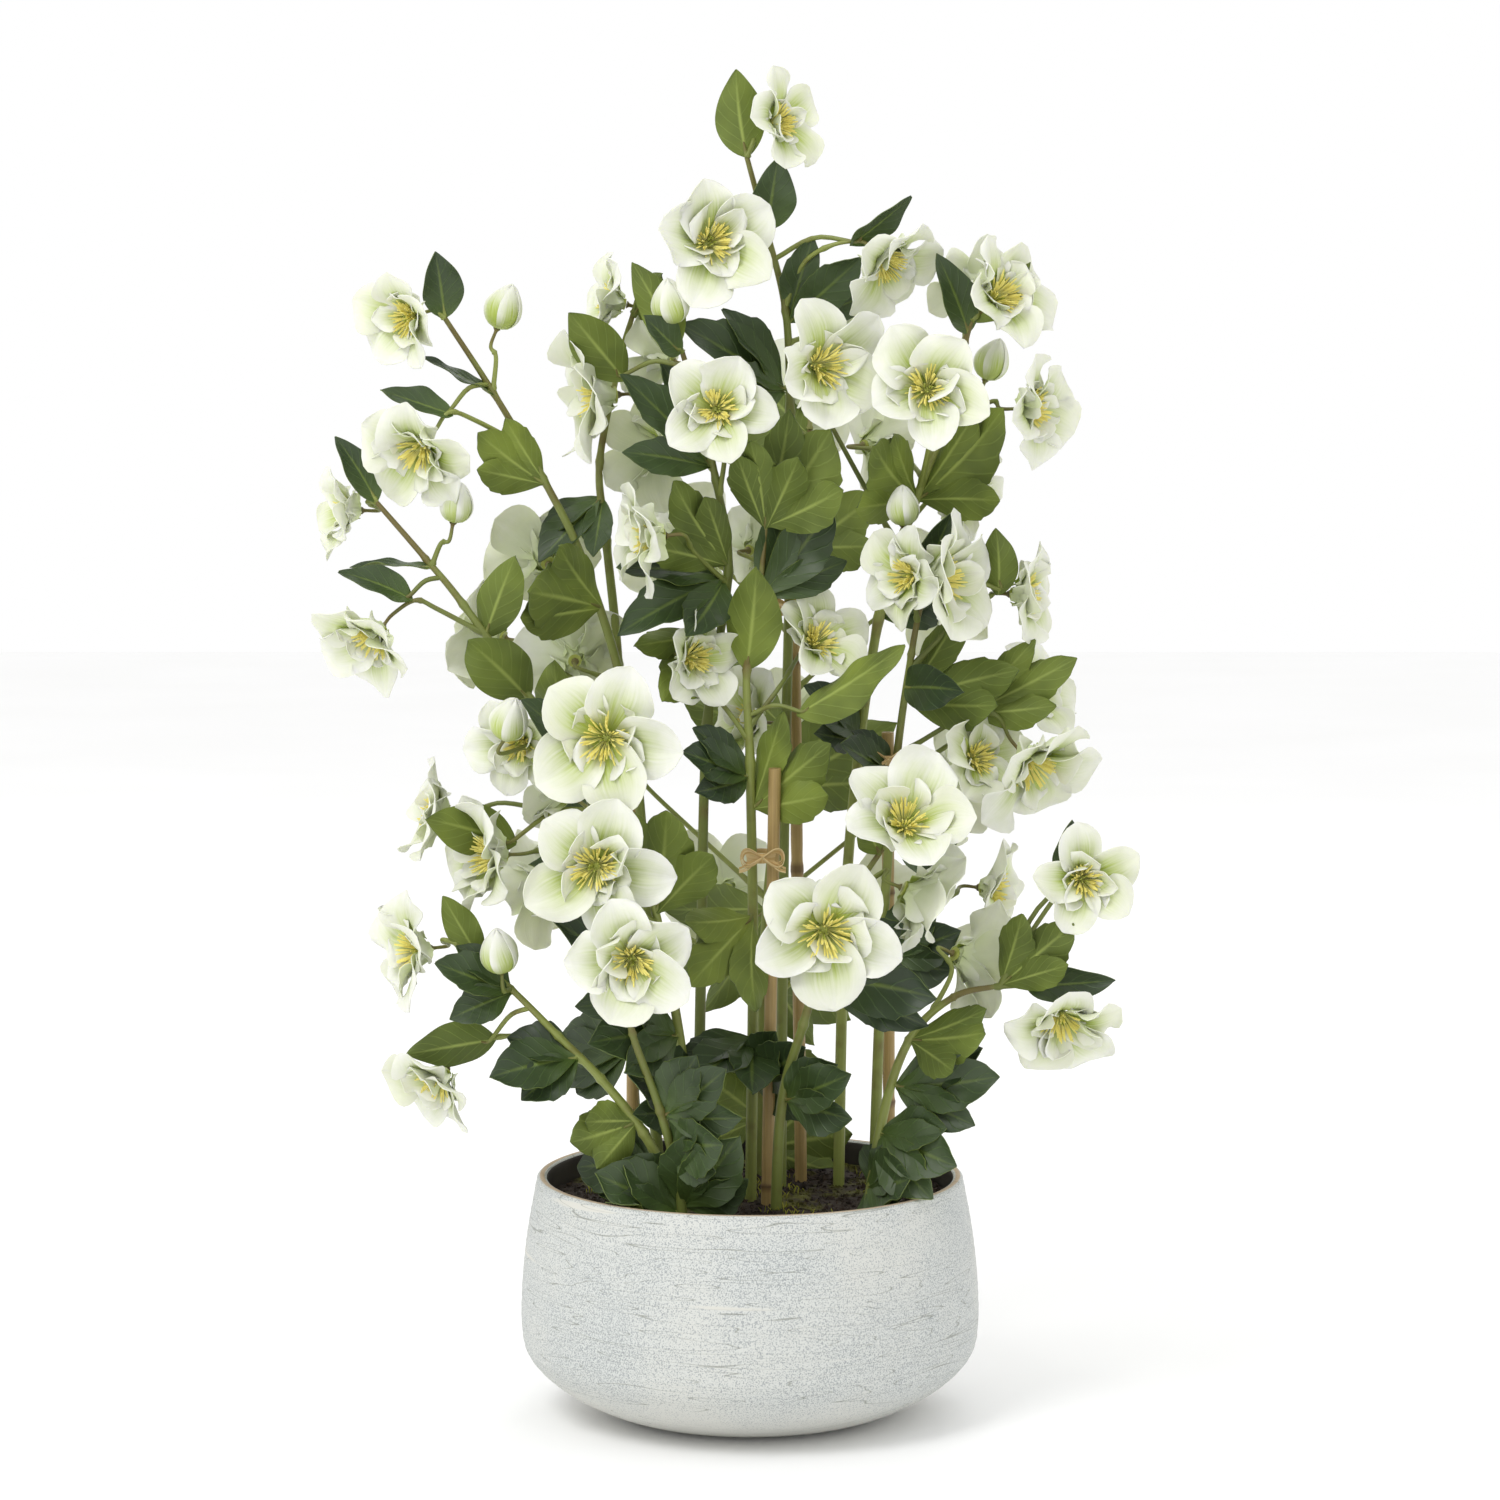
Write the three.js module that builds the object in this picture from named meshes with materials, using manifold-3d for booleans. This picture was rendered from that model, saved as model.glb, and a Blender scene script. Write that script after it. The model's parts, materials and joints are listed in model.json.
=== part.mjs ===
// A tall potted hellebore: a wide stoneware bowl of compost, four bamboo canes,
// raffia ties, and fourteen flowering sprays with their open flower heads.
// Millimetres, +Z up, front towards -Y. The origin is the centre of the pot's foot.
import * as THREE from "three";
import { mergeVertices } from "three/addons/utils/BufferGeometryUtils.js";
import Module from "manifold-3d";

const wasm = await Module();
wasm.setup();
const { Manifold, Mesh: SolidMesh } = wasm;

// Pot
const POT_RADIUS = 150;
const POT_HEIGHT = 157;
const RIM_RADIUS = 139.5;
const FOOT_RADIUS = 72;
const WALL = 6.5;
const POT_SIDES = 32;
const POT_FLOOR = 9;

// Compost
const SOIL_TOP = 140;
const SOIL_CROWN = 3;
const SOIL_GAP = 0.4;

// Canes, stems and ties
const CANE_RADIUS = 4;
const CANE_SIDES = 8;
const CANE_DEPTH = 45;
const STEM_RADIUS = 3.4;
const STEM_SIDES = 5;
const STALK_RADIUS = 1.7;
const STALK_SIDES = 4;
const TIE_THICKNESS = 1.6;
const TIE_HEIGHT = 5;
const TIE_SQUASH = 0.55;
const BOW_THICKNESS = 2;

// Leaves, flowers and buds
const LEAF_THICKNESS = 1.2;
const PETIOLE_GRIP = 4;
const PETALS = 5;
const PETAL_LOBE = 0.1;
const FLOWER_SIDES = 10;
const FLOWER_DEPTH = 0.3;
const BUD_SIDES = 6;
const STALK_LEAD = 12;

// Space kept round every piece that another one is trimmed to
const CLEARANCE = 1;
// Leaves turn their upper faces this way: forwards and up, towards the light.
const LIGHT = new THREE.Vector3(0, -1, 0.35).normalize();

const COLOURS = {
  pot: ["#dfe1dd", 0.75],
  soil: ["#3b2c20", 0.95],
  cane: ["#a87d4c", 0.6],
  tie: ["#c9a36a", 0.8],
  foliage: ["#5f7a34", 0.55],
  petal: ["#f1f2e4", 0.6],
};

// Canes: where each one meets the compost and where its cut top is.
const CANES = {
  front_cane: [[11, -34, SOIL_TOP], [16, -36, 428]],
  rear_cane: [[34, 46, SOIL_TOP], [28, 44, 590]],
  right_cane: [[92, 22, SOIL_TOP], [90, 16, 446]],
  left_cane: [[-78, 20, SOIL_TOP], [-76, 22, 400]],
};

// Ties: the centre of each one, and the half length of its loop.
const TIES = {
  front_tie: [[8, -29, 368], 16],
  rear_tie: [[27, 36, 524], 17],
  right_tie: [[89, 5, 428], 21],
};

// The sprays. A bloom is [centre, turn, lift, width, stalk]: it turns from the front
// towards +X and lifts upwards, in degrees. A bud is [centre, turn, lift, length, stalk].
// A leaf is [kind, base, tip, width, roll].
const SPRAYS = [
  {
    "name": "top_spray",
    "stem": [[20, 25, 110], [22, 28, 350], [26, 28, 560], [26, 20, 655], [23, 8, 720],
      [11, -6, 770], [-2, -16, 818]],
    "blooms": [
      [[26, -24, 842], 50, 12, 66, [[-2, -16, 818], [2, -16, 828]]],
      [[-20, -48, 766], 20, 8, 84, [[11, -6, 770], [8, -8, 780]]],
      [[94, -36, 744], 50, -35, 78, [[23, 8, 722], [34, -4, 750], [52, -14, 762]]],
    ],
    "buds": [],
    "leaves": [
      ["bract", [-2, -16, 818], [-14, -24, 872], 32, 175],
      ["bract", [11, -8, 772], [16, -26, 818], 30, 20],
      ["bract", [64, -16, 762], [102, -30, 792], 20, 60],
      ["lobed", [24, 12, 712], [74, -22, 756], 40, 30],
      ["lobed", [24, 16, 668], [-34, -36, 704], 56, 20],
    ],
  },
  {
    "name": "upper_left_spray",
    "stem": [[-35, 15, 110], [-32, 16, 300], [-28, 14, 450], [-14, 2, 552], [-22, -14, 612],
      [-34, -28, 664], [-43, -36, 694]],
    "blooms": [
      [[-112, -8, 664], -75, -5, 94, [[-26, -18, 622], [-56, -20, 662], [-76, -14, 672]]],
      [[-20, -66, 660], 5, 5, 74, [[-20, -12, 602], [-16, -26, 634]]],
      [[-76, -50, 578], -75, 0, 78, [[-16, 2, 545], [-36, -18, 566]]],
    ],
    "buds": [
      [[-50, -44, 722], -20, 70, 30, [[-43, -36, 694]]],
    ],
    "leaves": [
      ["bract", [-80, -16, 676], [-116, -40, 720], 32, 170],
      ["bract", [-46, -38, 698], [-72, -30, 752], 28, 160],
      ["bract", [-44, -38, 694], [-68, -60, 716], 22, 10],
      ["lobed", [-24, -16, 620], [-78, -58, 676], 46, 15],
      ["lobed", [-14, 0, 556], [-62, -46, 606], 44, 170],
      ["lobed", [-16, 4, 548], [-78, -60, 528], 54, 10],
      ["lobed", [-24, 10, 510], [-66, -50, 478], 44, 165],
    ],
  },
  {
    "name": "mid_left_spray",
    "stem": [[-72, 40, 110], [-82, 44, 300], [-86, 42, 475], [-94, 34, 570], [-98, 30, 622],
      [-84, 30, 690], [-76, 30, 718]],
    "blooms": [
      [[-99, 26, 728], -78, 12, 66, [[-76, 30, 718], [-73, 30, 726]]],
      [[-140, 68, 564], -160, 25, 82, [[-88, 42, 490], [-104, 50, 530]]],
    ],
    "buds": [],
    "leaves": [
      ["bract", [-76, 30, 716], [-56, -6, 748], 26, 160],
      ["lobed", [-96, 34, 600], [-130, 0, 560], 40, 20],
      ["lobed", [-86, 42, 460], [-140, 80, 440], 56, 20],
      ["lobed", [-84, 44, 380], [-140, 60, 400], 60, 20],
      ["lobed", [-80, 44, 230], [-136, 70, 210], 60, 10],
    ],
  },
  {
    "name": "left_spray",
    "stem": [[-60, 12, 110], [-66, 12, 300], [-78, 12, 450], [-106, 10, 552], [-134, 8, 612],
      [-166, 4, 668], [-196, -10, 716]],
    "blooms": [
      [[-226, -34, 714], -45, -12, 72, [[-196, -10, 716], [-202, -14, 720]]],
      [[-216, -56, 626], -30, -32, 80, [[-144, 8, 632], [-176, -12, 650], [-192, -26, 656]]],
    ],
    "buds": [
      [[-160, 6, 718], 80, 70, 30, [[-166, 4, 668], [-164, 6, 690]]],
    ],
    "leaves": [
      ["bract", [-196, -10, 716], [-200, -22, 758], 28, 20],
      ["bract", [-164, 4, 666], [-212, -14, 690], 14, 50],
      ["bract", [-190, -24, 654], [-236, -34, 668], 22, 30],
      ["lobed", [-132, 8, 608], [-182, -16, 640], 44, 175],
      ["lobed", [-96, 10, 528], [-152, -36, 552], 60, 170],
    ],
  },
  {
    "name": "left_low_spray",
    "stem": [[-54, -16, 110], [-72, -20, 280], [-100, -26, 400], [-140, -30, 470],
      [-184, -30, 533], [-208, -26, 562], [-240, -18, 598]],
    "blooms": [
      [[-268, -12, 592], -70, 0, 62, [[-240, -18, 598], [-246, -16, 598]]],
      [[-246, -58, 506], -40, -38, 76, [[-170, -30, 512], [-200, -32, 530], [-214, -34, 536]]],
      [[-178, -62, 374], -65, 0, 84, [[-94, -26, 382], [-130, -36, 376]]],
      [[-150, -76, 444], -20, -15, 64, [[-106, -26, 412], [-128, -44, 440]]],
    ],
    "buds": [
      [[-188, -34, 594], 60, 75, 26, [[-204, -27, 558], [-198, -30, 572]]],
      [[-152, -98, 462], 30, 60, 30, [[-110, -27, 424], [-130, -60, 446]]],
    ],
    "leaves": [
      ["bract", [-240, -18, 598], [-262, -22, 642], 22, 20],
      ["bract", [-216, -34, 536], [-260, -44, 560], 24, 30],
      ["bract", [-204, -26, 556], [-256, -30, 562], 14, 60],
      ["bract", [-170, -30, 512], [-152, -48, 568], 30, 170],
      ["bract", [-142, -30, 472], [-176, -72, 516], 38, 165],
      ["bract", [-122, -28, 440], [-124, -74, 500], 34, 165],
      ["bract", [-150, -40, 380], [-206, -76, 404], 34, 165],
      ["lobed", [-86, -24, 350], [-140, -80, 350], 50, 10],
    ],
  },
  {
    "name": "centre_spray",
    "stem": [[0, -18, 110], [2, -20, 300], [0, -22, 430], [-2, -22, 490], [6, -20, 540],
      [10, -18, 584]],
    "blooms": [
      [[50, -14, 512], 35, 25, 72, [[0, -22, 452], [20, -16, 480]]],
      [[-30, -34, 498], 40, 0, 66, [[0, -22, 444], [-20, -20, 470]]],
    ],
    "buds": [],
    "leaves": [
      ["lobed", [10, -18, 580], [8, -52, 648], 44, 172],
      ["lobed", [10, -18, 582], [62, -44, 646], 60, 172],
      ["bract", [-2, -22, 490], [6, -48, 560], 36, 172],
      ["lobed", [6, -20, 536], [58, -10, 590], 50, 20],
      ["bract", [30, -30, 462], [100, -62, 508], 36, 150],
      ["lobed", [2, -22, 400], [52, -52, 456], 50, 165],
      ["lobed", [0, -22, 420], [-44, -56, 440], 44, 15],
      ["lobed", [2, -22, 330], [-40, -84, 296], 48, 165],
      ["lobed", [2, -20, 250], [-30, -80, 232], 56, 15],
      ["lobed", [1, -20, 220], [42, -70, 250], 52, 15],
    ],
  },
  {
    "name": "right_upper_spray",
    "stem": [[58, 30, 110], [64, 32, 350], [84, 22, 520], [108, 4, 600], [128, -6, 654],
      [138, -12, 700], [142, -14, 714]],
    "blooms": [
      [[112, -76, 674], 0, 8, 82, [[110, 2, 606], [116, -30, 646]]],
      [[168, -26, 734], 45, 20, 80, [[142, -14, 714], [146, -14, 718]]],
      [[190, -34, 658], 60, 0, 74, [[124, -4, 642], [154, -14, 662]]],
      [[54, -72, 686], 35, 0, 88, [[96, 12, 566], [56, -12, 640]]],
    ],
    "buds": [
      [[156, 24, 684], 90, 70, 28, [[130, -6, 656], [148, 16, 662]]],
    ],
    "leaves": [
      ["bract", [140, -13, 706], [122, -36, 756], 26, 20],
      ["bract", [142, -14, 714], [182, -6, 748], 24, 160],
      ["lobed", [108, 4, 598], [170, -30, 644], 54, 172],
      ["lobed", [108, 4, 598], [70, -44, 628], 50, 172],
      ["lobed", [84, 22, 520], [126, 40, 556], 54, 20],
      ["lobed", [74, 28, 440], [40, -6, 470], 44, 20],
    ],
  },
  {
    "name": "right_mid_spray",
    "stem": [[80, -2, 110], [86, -4, 300], [94, -8, 420], [104, -18, 500], [112, -26, 544]],
    "blooms": [
      [[134, -60, 550], 60, 2, 90, [[112, -26, 544], [110, -40, 550]]],
      [[188, -12, 538], 70, 0, 72, [[102, -16, 490], [140, -16, 528], [156, -16, 538]]],
      [[188, -54, 422], 45, -40, 90, [[96, -10, 434], [140, -30, 462], [158, -36, 462]]],
      [[152, -40, 436], 35, 10, 66, [[92, -8, 400], [130, -20, 420]]],
    ],
    "buds": [
      [[98, -28, 592], -10, 80, 26, [[112, -26, 544], [102, -26, 566]]],
    ],
    "leaves": [
      ["bract", [160, -16, 538], [162, -24, 582], 24, 170],
      ["bract", [112, -30, 546], [124, -48, 594], 28, 20],
      ["bract", [100, -16, 478], [136, -66, 486], 30, 20],
      ["lobed", [100, -14, 470], [176, -44, 506], 50, 172],
      ["lobed", [140, -26, 462], [210, -36, 500], 46, 172],
      ["lobed", [94, -8, 420], [60, -50, 440], 40, 20],
      ["lobed", [92, -8, 380], [136, -60, 396], 50, 20],
      ["lobed", [88, -4, 300], [136, -36, 322], 56, 15],
    ],
  },
  {
    "name": "front_right_spray",
    "stem": [[16, -48, 110], [20, -58, 210], [34, -76, 268], [46, -88, 310], [62, -94, 350],
      [84, -96, 384]],
    "blooms": [
      [[100, -128, 412], 10, 35, 88, [[84, -96, 384], [92, -98, 390]]],
      [[48, -146, 334], 5, -4, 94, [[42, -84, 298], [48, -98, 322]]],
      [[118, -92, 348], 95, -25, 84, [[66, -94, 356], [86, -84, 368]]],
    ],
    "buds": [],
    "leaves": [
      ["bract", [82, -96, 380], [72, -124, 402], 20, 170],
      ["lobed", [44, -86, 300], [120, -130, 308], 58, 15],
      ["lobed", [22, -60, 216], [62, -110, 236], 50, 15],
    ],
  },
  {
    "name": "right_low_spray",
    "stem": [[72, -60, 110], [84, -62, 200], [102, -64, 256], [130, -66, 284], [160, -68, 292]],
    "blooms": [
      [[214, -92, 362], 12, 0, 70, [[160, -68, 292], [178, -68, 324], [200, -66, 356]]],
      [[200, -86, 262], 10, -42, 78, [[156, -68, 290], [180, -70, 292]]],
      [[150, -26, 300], 120, -20, 80, [[118, -65, 272], [130, -44, 298]]],
    ],
    "buds": [],
    "leaves": [
      ["bract", [200, -68, 354], [204, -64, 398], 22, 20],
      ["bract", [176, -70, 292], [232, -88, 298], 24, 30],
      ["lobed", [160, -68, 292], [202, -90, 334], 44, 172],
      ["lobed", [102, -64, 256], [156, -106, 262], 46, 172],
      ["lobed", [92, -63, 226], [160, -100, 226], 56, 15],
      ["lobed", [82, -62, 196], [130, -110, 180], 56, 15],
      ["lobed", [74, -60, 160], [104, -98, 164], 64, 15],
    ],
  },
  {
    "name": "left_front_spray",
    "stem": [[-32, -34, 110], [-42, -46, 230], [-56, -66, 320], [-70, -84, 380], [-84, -96, 430]],
    "blooms": [
      [[-92, -140, 456], -5, 0, 96, [[-84, -96, 430], [-90, -100, 446]]],
      [[-98, -144, 376], -5, 0, 90, [[-58, -70, 330], [-84, -96, 358]]],
    ],
    "buds": [],
    "leaves": [
      ["lobed", [-60, -72, 338], [-46, -110, 420], 58, 172],
      ["lobed", [-50, -58, 286], [-130, -130, 330], 58, 15],
      ["lobed", [-84, -96, 430], [-140, -128, 470], 44, 15],
      ["lobed", [-46, -52, 256], [-96, -112, 276], 56, 15],
      ["lobed", [-40, -44, 210], [-74, -100, 244], 54, 15],
    ],
  },
  {
    "name": "front_low_spray",
    "stem": [[-42, -78, 110], [-45, -84, 165], [-57, -96, 216], [-74, -112, 268], [-76, -122, 296]],
    "blooms": [
      [[-73, -174, 320], 0, -8, 84, [[-76, -122, 296], [-75, -132, 312]]],
    ],
    "buds": [],
    "leaves": [
      ["lobed", [-56, -94, 212], [-10, -126, 240], 52, 15],
      ["lobed", [-50, -88, 190], [-20, -122, 204], 52, 15],
      ["lobed", [-44, -80, 150], [-8, -116, 196], 54, 20],
      ["lobed", [-44, -80, 146], [-96, -112, 172], 60, 10],
    ],
  },
  {
    "name": "lower_left_spray",
    "stem": [[-50, -68, 110], [-54, -70, 163], [-68, -76, 198], [-95, -82, 234], [-122, -84, 262],
      [-152, -82, 292], [-186, -74, 320]],
    "blooms": [
      [[-226, -66, 312], -65, -5, 80, [[-186, -74, 320], [-196, -72, 322]]],
      [[-206, -82, 224], -48, -42, 74, [[-104, -84, 244], [-136, -80, 260], [-166, -70, 258]]],
    ],
    "buds": [
      [[-158, -98, 314], -20, 75, 30, [[-152, -82, 292]]],
    ],
    "leaves": [
      ["lobed", [-150, -82, 290], [-200, -104, 306], 44, 15],
      ["bract", [-172, -74, 310], [-196, -88, 352], 22, 165],
      ["lobed", [-108, -84, 248], [-164, -106, 248], 50, 15],
      ["bract", [-162, -72, 258], [-218, -88, 250], 30, 150],
      ["lobed", [-72, -78, 206], [-110, -96, 190], 46, 160],
      ["lobed", [-60, -72, 176], [-112, -60, 176], 58, 10],
    ],
  },
  {
    "name": "back_spray",
    "stem": [[6, 66, 110], [10, 84, 300], [24, 100, 440], [36, 108, 560], [40, 104, 640]],
    "blooms": [
      [[44, 140, 664], 170, 5, 86, [[40, 104, 640], [40, 108, 652]]],
      [[-46, 156, 560], -160, 5, 90, [[30, 104, 500], [-10, 118, 540]]],
    ],
    "buds": [
      [[-20, 130, 640], -150, 70, 28, [[36, 108, 560], [2, 122, 606]]],
    ],
    "leaves": [
      ["lobed", [40, 104, 636], [-10, 130, 660], 50, 195],
      ["lobed", [36, 108, 560], [84, 150, 590], 54, 195],
      ["lobed", [24, 100, 440], [-50, 150, 470], 60, 195],
      ["lobed", [20, 96, 400], [90, 150, 440], 60, 195],
      ["lobed", [12, 86, 320], [-60, 150, 250], 60, 195],
      ["lobed", [10, 82, 280], [70, 140, 240], 60, 195],
      ["lobed", [8, 74, 220], [10, 140, 190], 60, 195],
      ["lobed", [7, 70, 180], [-60, 100, 180], 60, 195],
      ["lobed", [7, 68, 160], [70, 92, 170], 60, 195],
    ],
  },
];

const point = (list) => new THREE.Vector3(...list);
const radians = THREE.MathUtils.degToRad;

/** The direction that a head looks in: turn is from -Y towards +X, lift is upwards. */
function facing(turn, lift) {
  const level = Math.cos(radians(lift));
  return new THREE.Vector3(
    level * Math.sin(radians(turn)),
    -level * Math.cos(radians(turn)),
    Math.sin(radians(lift)),
  );
}

/** A solid from a closed geometry, whose corners are merged first. */
function solidOf(geometry) {
  const bare = geometry.clone();
  bare.deleteAttribute("normal");
  bare.deleteAttribute("uv");
  const merged = mergeVertices(bare, 1e-4);
  const solid = new Manifold(new SolidMesh({
    numProp: 3,
    vertProperties: new Float32Array(merged.attributes.position.array),
    triVerts: new Uint32Array(merged.index.array),
  }));
  return solid;
}

/** The geometry of a solid, with flat shading. */
function geometryOf(solid) {
  const { vertProperties, triVerts } = solid.getMesh();
  const geometry = new THREE.BufferGeometry();
  geometry.setAttribute("position", new THREE.BufferAttribute(vertProperties, 3));
  geometry.setIndex(new THREE.BufferAttribute(triVerts, 1));
  geometry.computeVertexNormals();
  return geometry;
}

/** The same solid with every corner moved out along its normal. */
function swollen(solid) {
  const geometry = geometryOf(solid);
  const place = geometry.attributes.position;
  const normal = geometry.attributes.normal;
  for (let i = 0; i < place.count; i += 1) {
    place.setXYZ(
      i,
      place.getX(i) + CLEARANCE * normal.getX(i),
      place.getY(i) + CLEARANCE * normal.getY(i),
      place.getZ(i) + CLEARANCE * normal.getZ(i),
    );
  }
  return solidOf(geometry);
}

/** The piece less the others, keeping only its largest part. */
function trimmed(solid, others) {
  const cut = solid.subtract(Manifold.union(others));
  const parts = cut.decompose();
  return parts.reduce((best, part) => (part.volume() > best.volume() ? part : best));
}

/** A smooth route through hand-placed points. */
function routeOf(points) {
  return new THREE.CatmullRomCurve3(points, false, "catmullrom", 0.5);
}

/** A round rod along a route. */
function rod(points, radius, sides) {
  const section = new THREE.Shape();
  for (let i = 0; i < sides; i += 1) {
    const angle = (2 * Math.PI * i) / sides;
    const corner = [radius * Math.cos(angle), radius * Math.sin(angle)];
    if (i === 0) section.moveTo(...corner);
    else section.lineTo(...corner);
  }
  section.closePath();
  const steps = points.length - 1;
  const path = routeOf(points);
  return solidOf(new THREE.ExtrudeGeometry(section, { steps, extrudePath: path, curveSegments: 1 }));
}

/** The point on a spray's stem that is nearest to a place. */
function nearestOnStem(stem, place) {
  const samples = stem.getPoints(120).filter((sample) => sample.z > SOIL_TOP);
  return samples.reduce((best, sample) => (
    sample.distanceTo(place) < best.distanceTo(place) ? sample : best
  ));
}

/** The route of a stalk from the stem to the back of a head, arriving along its axis. */
function stalkRoute(stem, middle, back, look) {
  const lead = back.clone().addScaledVector(look, -STALK_LEAD);
  const places = middle.map(point);
  places[0] = nearestOnStem(stem, places[0]);
  return [...places, lead, back];
}

/** A shallow cup with five pointed lobes and a raised middle, looking along +Z. */
function flowerShape(width) {
  const r = width / 2;
  const depth = FLOWER_DEPTH * width;
  const profile = [
    [0, -depth],
    [0.2 * r, -depth + 1],
    [0.62 * r, -0.45 * depth],
    [0.92 * r, 0.3 * depth],
    [0.42 * r, -0.3 * depth],
    [0.22 * r, 0.14 * depth],
    [0, 0.2 * depth],
  ].map(([x, y]) => new THREE.Vector2(x, y));
  const geometry = new THREE.LatheGeometry(profile, FLOWER_SIDES);
  const place = geometry.attributes.position;
  for (let i = 0; i < place.count; i += 1) {
    const angle = Math.atan2(place.getX(i), place.getZ(i));
    const lobe = 1 + PETAL_LOBE * Math.cos(PETALS * angle);
    place.setXYZ(i, place.getX(i) * lobe, place.getY(i), place.getZ(i) * lobe);
  }
  return geometry;
}

/** Turns a geometry made about +Y to look along a direction, at a place. */
function aimed(geometry, place, look) {
  const turn = new THREE.Quaternion().setFromUnitVectors(new THREE.Vector3(0, 1, 0), look);
  return geometry.applyQuaternion(turn).translate(place.x, place.y, place.z);
}

function flowerHead([centre, turn, lift, width]) {
  return solidOf(aimed(flowerShape(width), point(centre), facing(turn, lift)));
}

/** An egg-shaped bud with its blunt end at the stalk. */
function budShape(length) {
  const half = length / 2;
  const profile = [[0, -half], [0.55, -0.75 * half], [0.8, -0.1 * half], [0.5, 0.6 * half], [0, half]]
    .map(([x, y]) => new THREE.Vector2(x * half, y));
  return new THREE.LatheGeometry(profile, BUD_SIDES);
}

/** The outline of a leaf of unit length and unit width, from its base at the origin. */
const LEAF_OUTLINES = {
  bract: [[0.03, 0], [0.42, 0.24], [0.44, 0.58], [0, 1]],
  lobed: [[0.03, 0], [0.44, 0.28], [0.6, 0.6], [0.27, 0.56], [0, 1]],
};

/** A thin leaf plate from base to tip, rolled about its own length. */
function leaf([kind, base, tip, width, roll]) {
  const from = point(base);
  const along = point(tip).sub(from);
  const length = along.length();
  const right = LEAF_OUTLINES[kind];
  const left = right.slice(0, -1).reverse().map(([x, y]) => [-x, y]);
  const corners = [...right, ...left].map(([x, y]) => new THREE.Vector2(x * width, y * length));
  const plate = new THREE.ExtrudeGeometry(new THREE.Shape(corners), {
    depth: LEAF_THICKNESS,
    bevelEnabled: false,
  });
  plate.translate(0, 0, -LEAF_THICKNESS / 2);
  const ahead = along.normalize();
  const side = new THREE.Vector3().crossVectors(ahead, LIGHT).normalize();
  const top = new THREE.Vector3().crossVectors(side, ahead);
  plate.applyMatrix4(new THREE.Matrix4().makeBasis(side, ahead, top));
  plate.applyMatrix4(new THREE.Matrix4().makeRotationAxis(ahead, radians(roll)));
  return solidOf(plate.translate(from.x, from.y, from.z));
}

/** The rods of one spray: its stem, and the stalk of each head, bud and leaf. */
function sprayRods(spray) {
  const stem = routeOf(spray.stem.map(point));
  const rods = [rod(spray.stem.map(point), STEM_RADIUS, STEM_SIDES)];
  for (const [centre, turn, lift, width, middle] of spray.blooms) {
    const look = facing(turn, lift);
    const back = point(centre).addScaledVector(look, -FLOWER_DEPTH * width);
    rods.push(rod(stalkRoute(stem, middle, back, look), STALK_RADIUS, STALK_SIDES));
  }
  for (const [centre, turn, lift, length, middle] of spray.buds) {
    const look = facing(turn, lift);
    const back = point(centre).addScaledVector(look, -length / 3);
    rods.push(rod(stalkRoute(stem, middle, back, look), STALK_RADIUS, STALK_SIDES));
  }
  return Manifold.union(rods);
}

/** The leaves and buds of one spray, each leaf with a short petiole to its stem. */
function sprayFoliage(spray) {
  const stem = routeOf(spray.stem.map(point));
  const pieces = [];
  for (const row of spray.leaves) {
    const from = point(row[1]);
    const ahead = point(row[2]).sub(from).normalize();
    const root = nearestOnStem(stem, from);
    const blade = from.clone().addScaledVector(ahead, PETIOLE_GRIP);
    pieces.push(leaf(row));
    if (root.distanceTo(blade) > 1) pieces.push(rod([root, blade], STALK_RADIUS, STALK_SIDES));
  }
  for (const [centre, turn, lift, length] of spray.buds) {
    pieces.push(solidOf(aimed(budShape(length), point(centre), facing(turn, lift))));
  }
  return Manifold.union(pieces);
}

/** The bowl: a rounded shoulder low on the wall, a narrower rim and a flat foot. */
function potSolid() {
  const outside = [
    [0, 0], [FOOT_RADIUS, 0], [94, 4], [118, 15], [136, 28], [147, 42], [POT_RADIUS, 58],
    [POT_RADIUS, 78], [148, 105], [144, 132], [RIM_RADIUS, POT_HEIGHT - 1],
  ];
  const rim = [[RIM_RADIUS - 2, POT_HEIGHT], [RIM_RADIUS - WALL, POT_HEIGHT - 1]];
  const inside = [...insideWall(), [0, POT_FLOOR]];
  const profile = [...outside, ...rim, ...inside].map(([x, y]) => new THREE.Vector2(x, y));
  return solidOf(new THREE.LatheGeometry(profile, POT_SIDES).rotateX(Math.PI / 2));
}

/** The bowl's inner wall, from below the rim down to its floor. */
function insideWall() {
  return [[137.5, 132], [142.5, 96], [143.5, 60], [128, 30], [90, 12]];
}

/** The compost: it fills the bowl to a little below the rim, and is slightly crowned. */
function soilSolid() {
  const side = insideWall().slice(1, -1).map(([x, y]) => [x - SOIL_GAP, y + SOIL_GAP]);
  const profile = [
    [0, SOIL_TOP + SOIL_CROWN],
    [70, SOIL_TOP + 0.7 * SOIL_CROWN],
    [RIM_RADIUS - WALL - 2, SOIL_TOP - 4],
    ...side,
    [88, 12 + SOIL_GAP],
    [0, POT_FLOOR + SOIL_GAP],
  ].reverse().map(([x, y]) => new THREE.Vector2(x, y));
  return solidOf(new THREE.LatheGeometry(profile, POT_SIDES).rotateX(Math.PI / 2));
}

/** A straight cane from inside the compost to its cut top. */
function caneSolid([foot, top]) {
  const up = point(top).sub(point(foot)).normalize();
  const buried = point(foot).addScaledVector(up, -CANE_DEPTH);
  return rod([buried, point(top)], CANE_RADIUS, CANE_SIDES);
}

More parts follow.
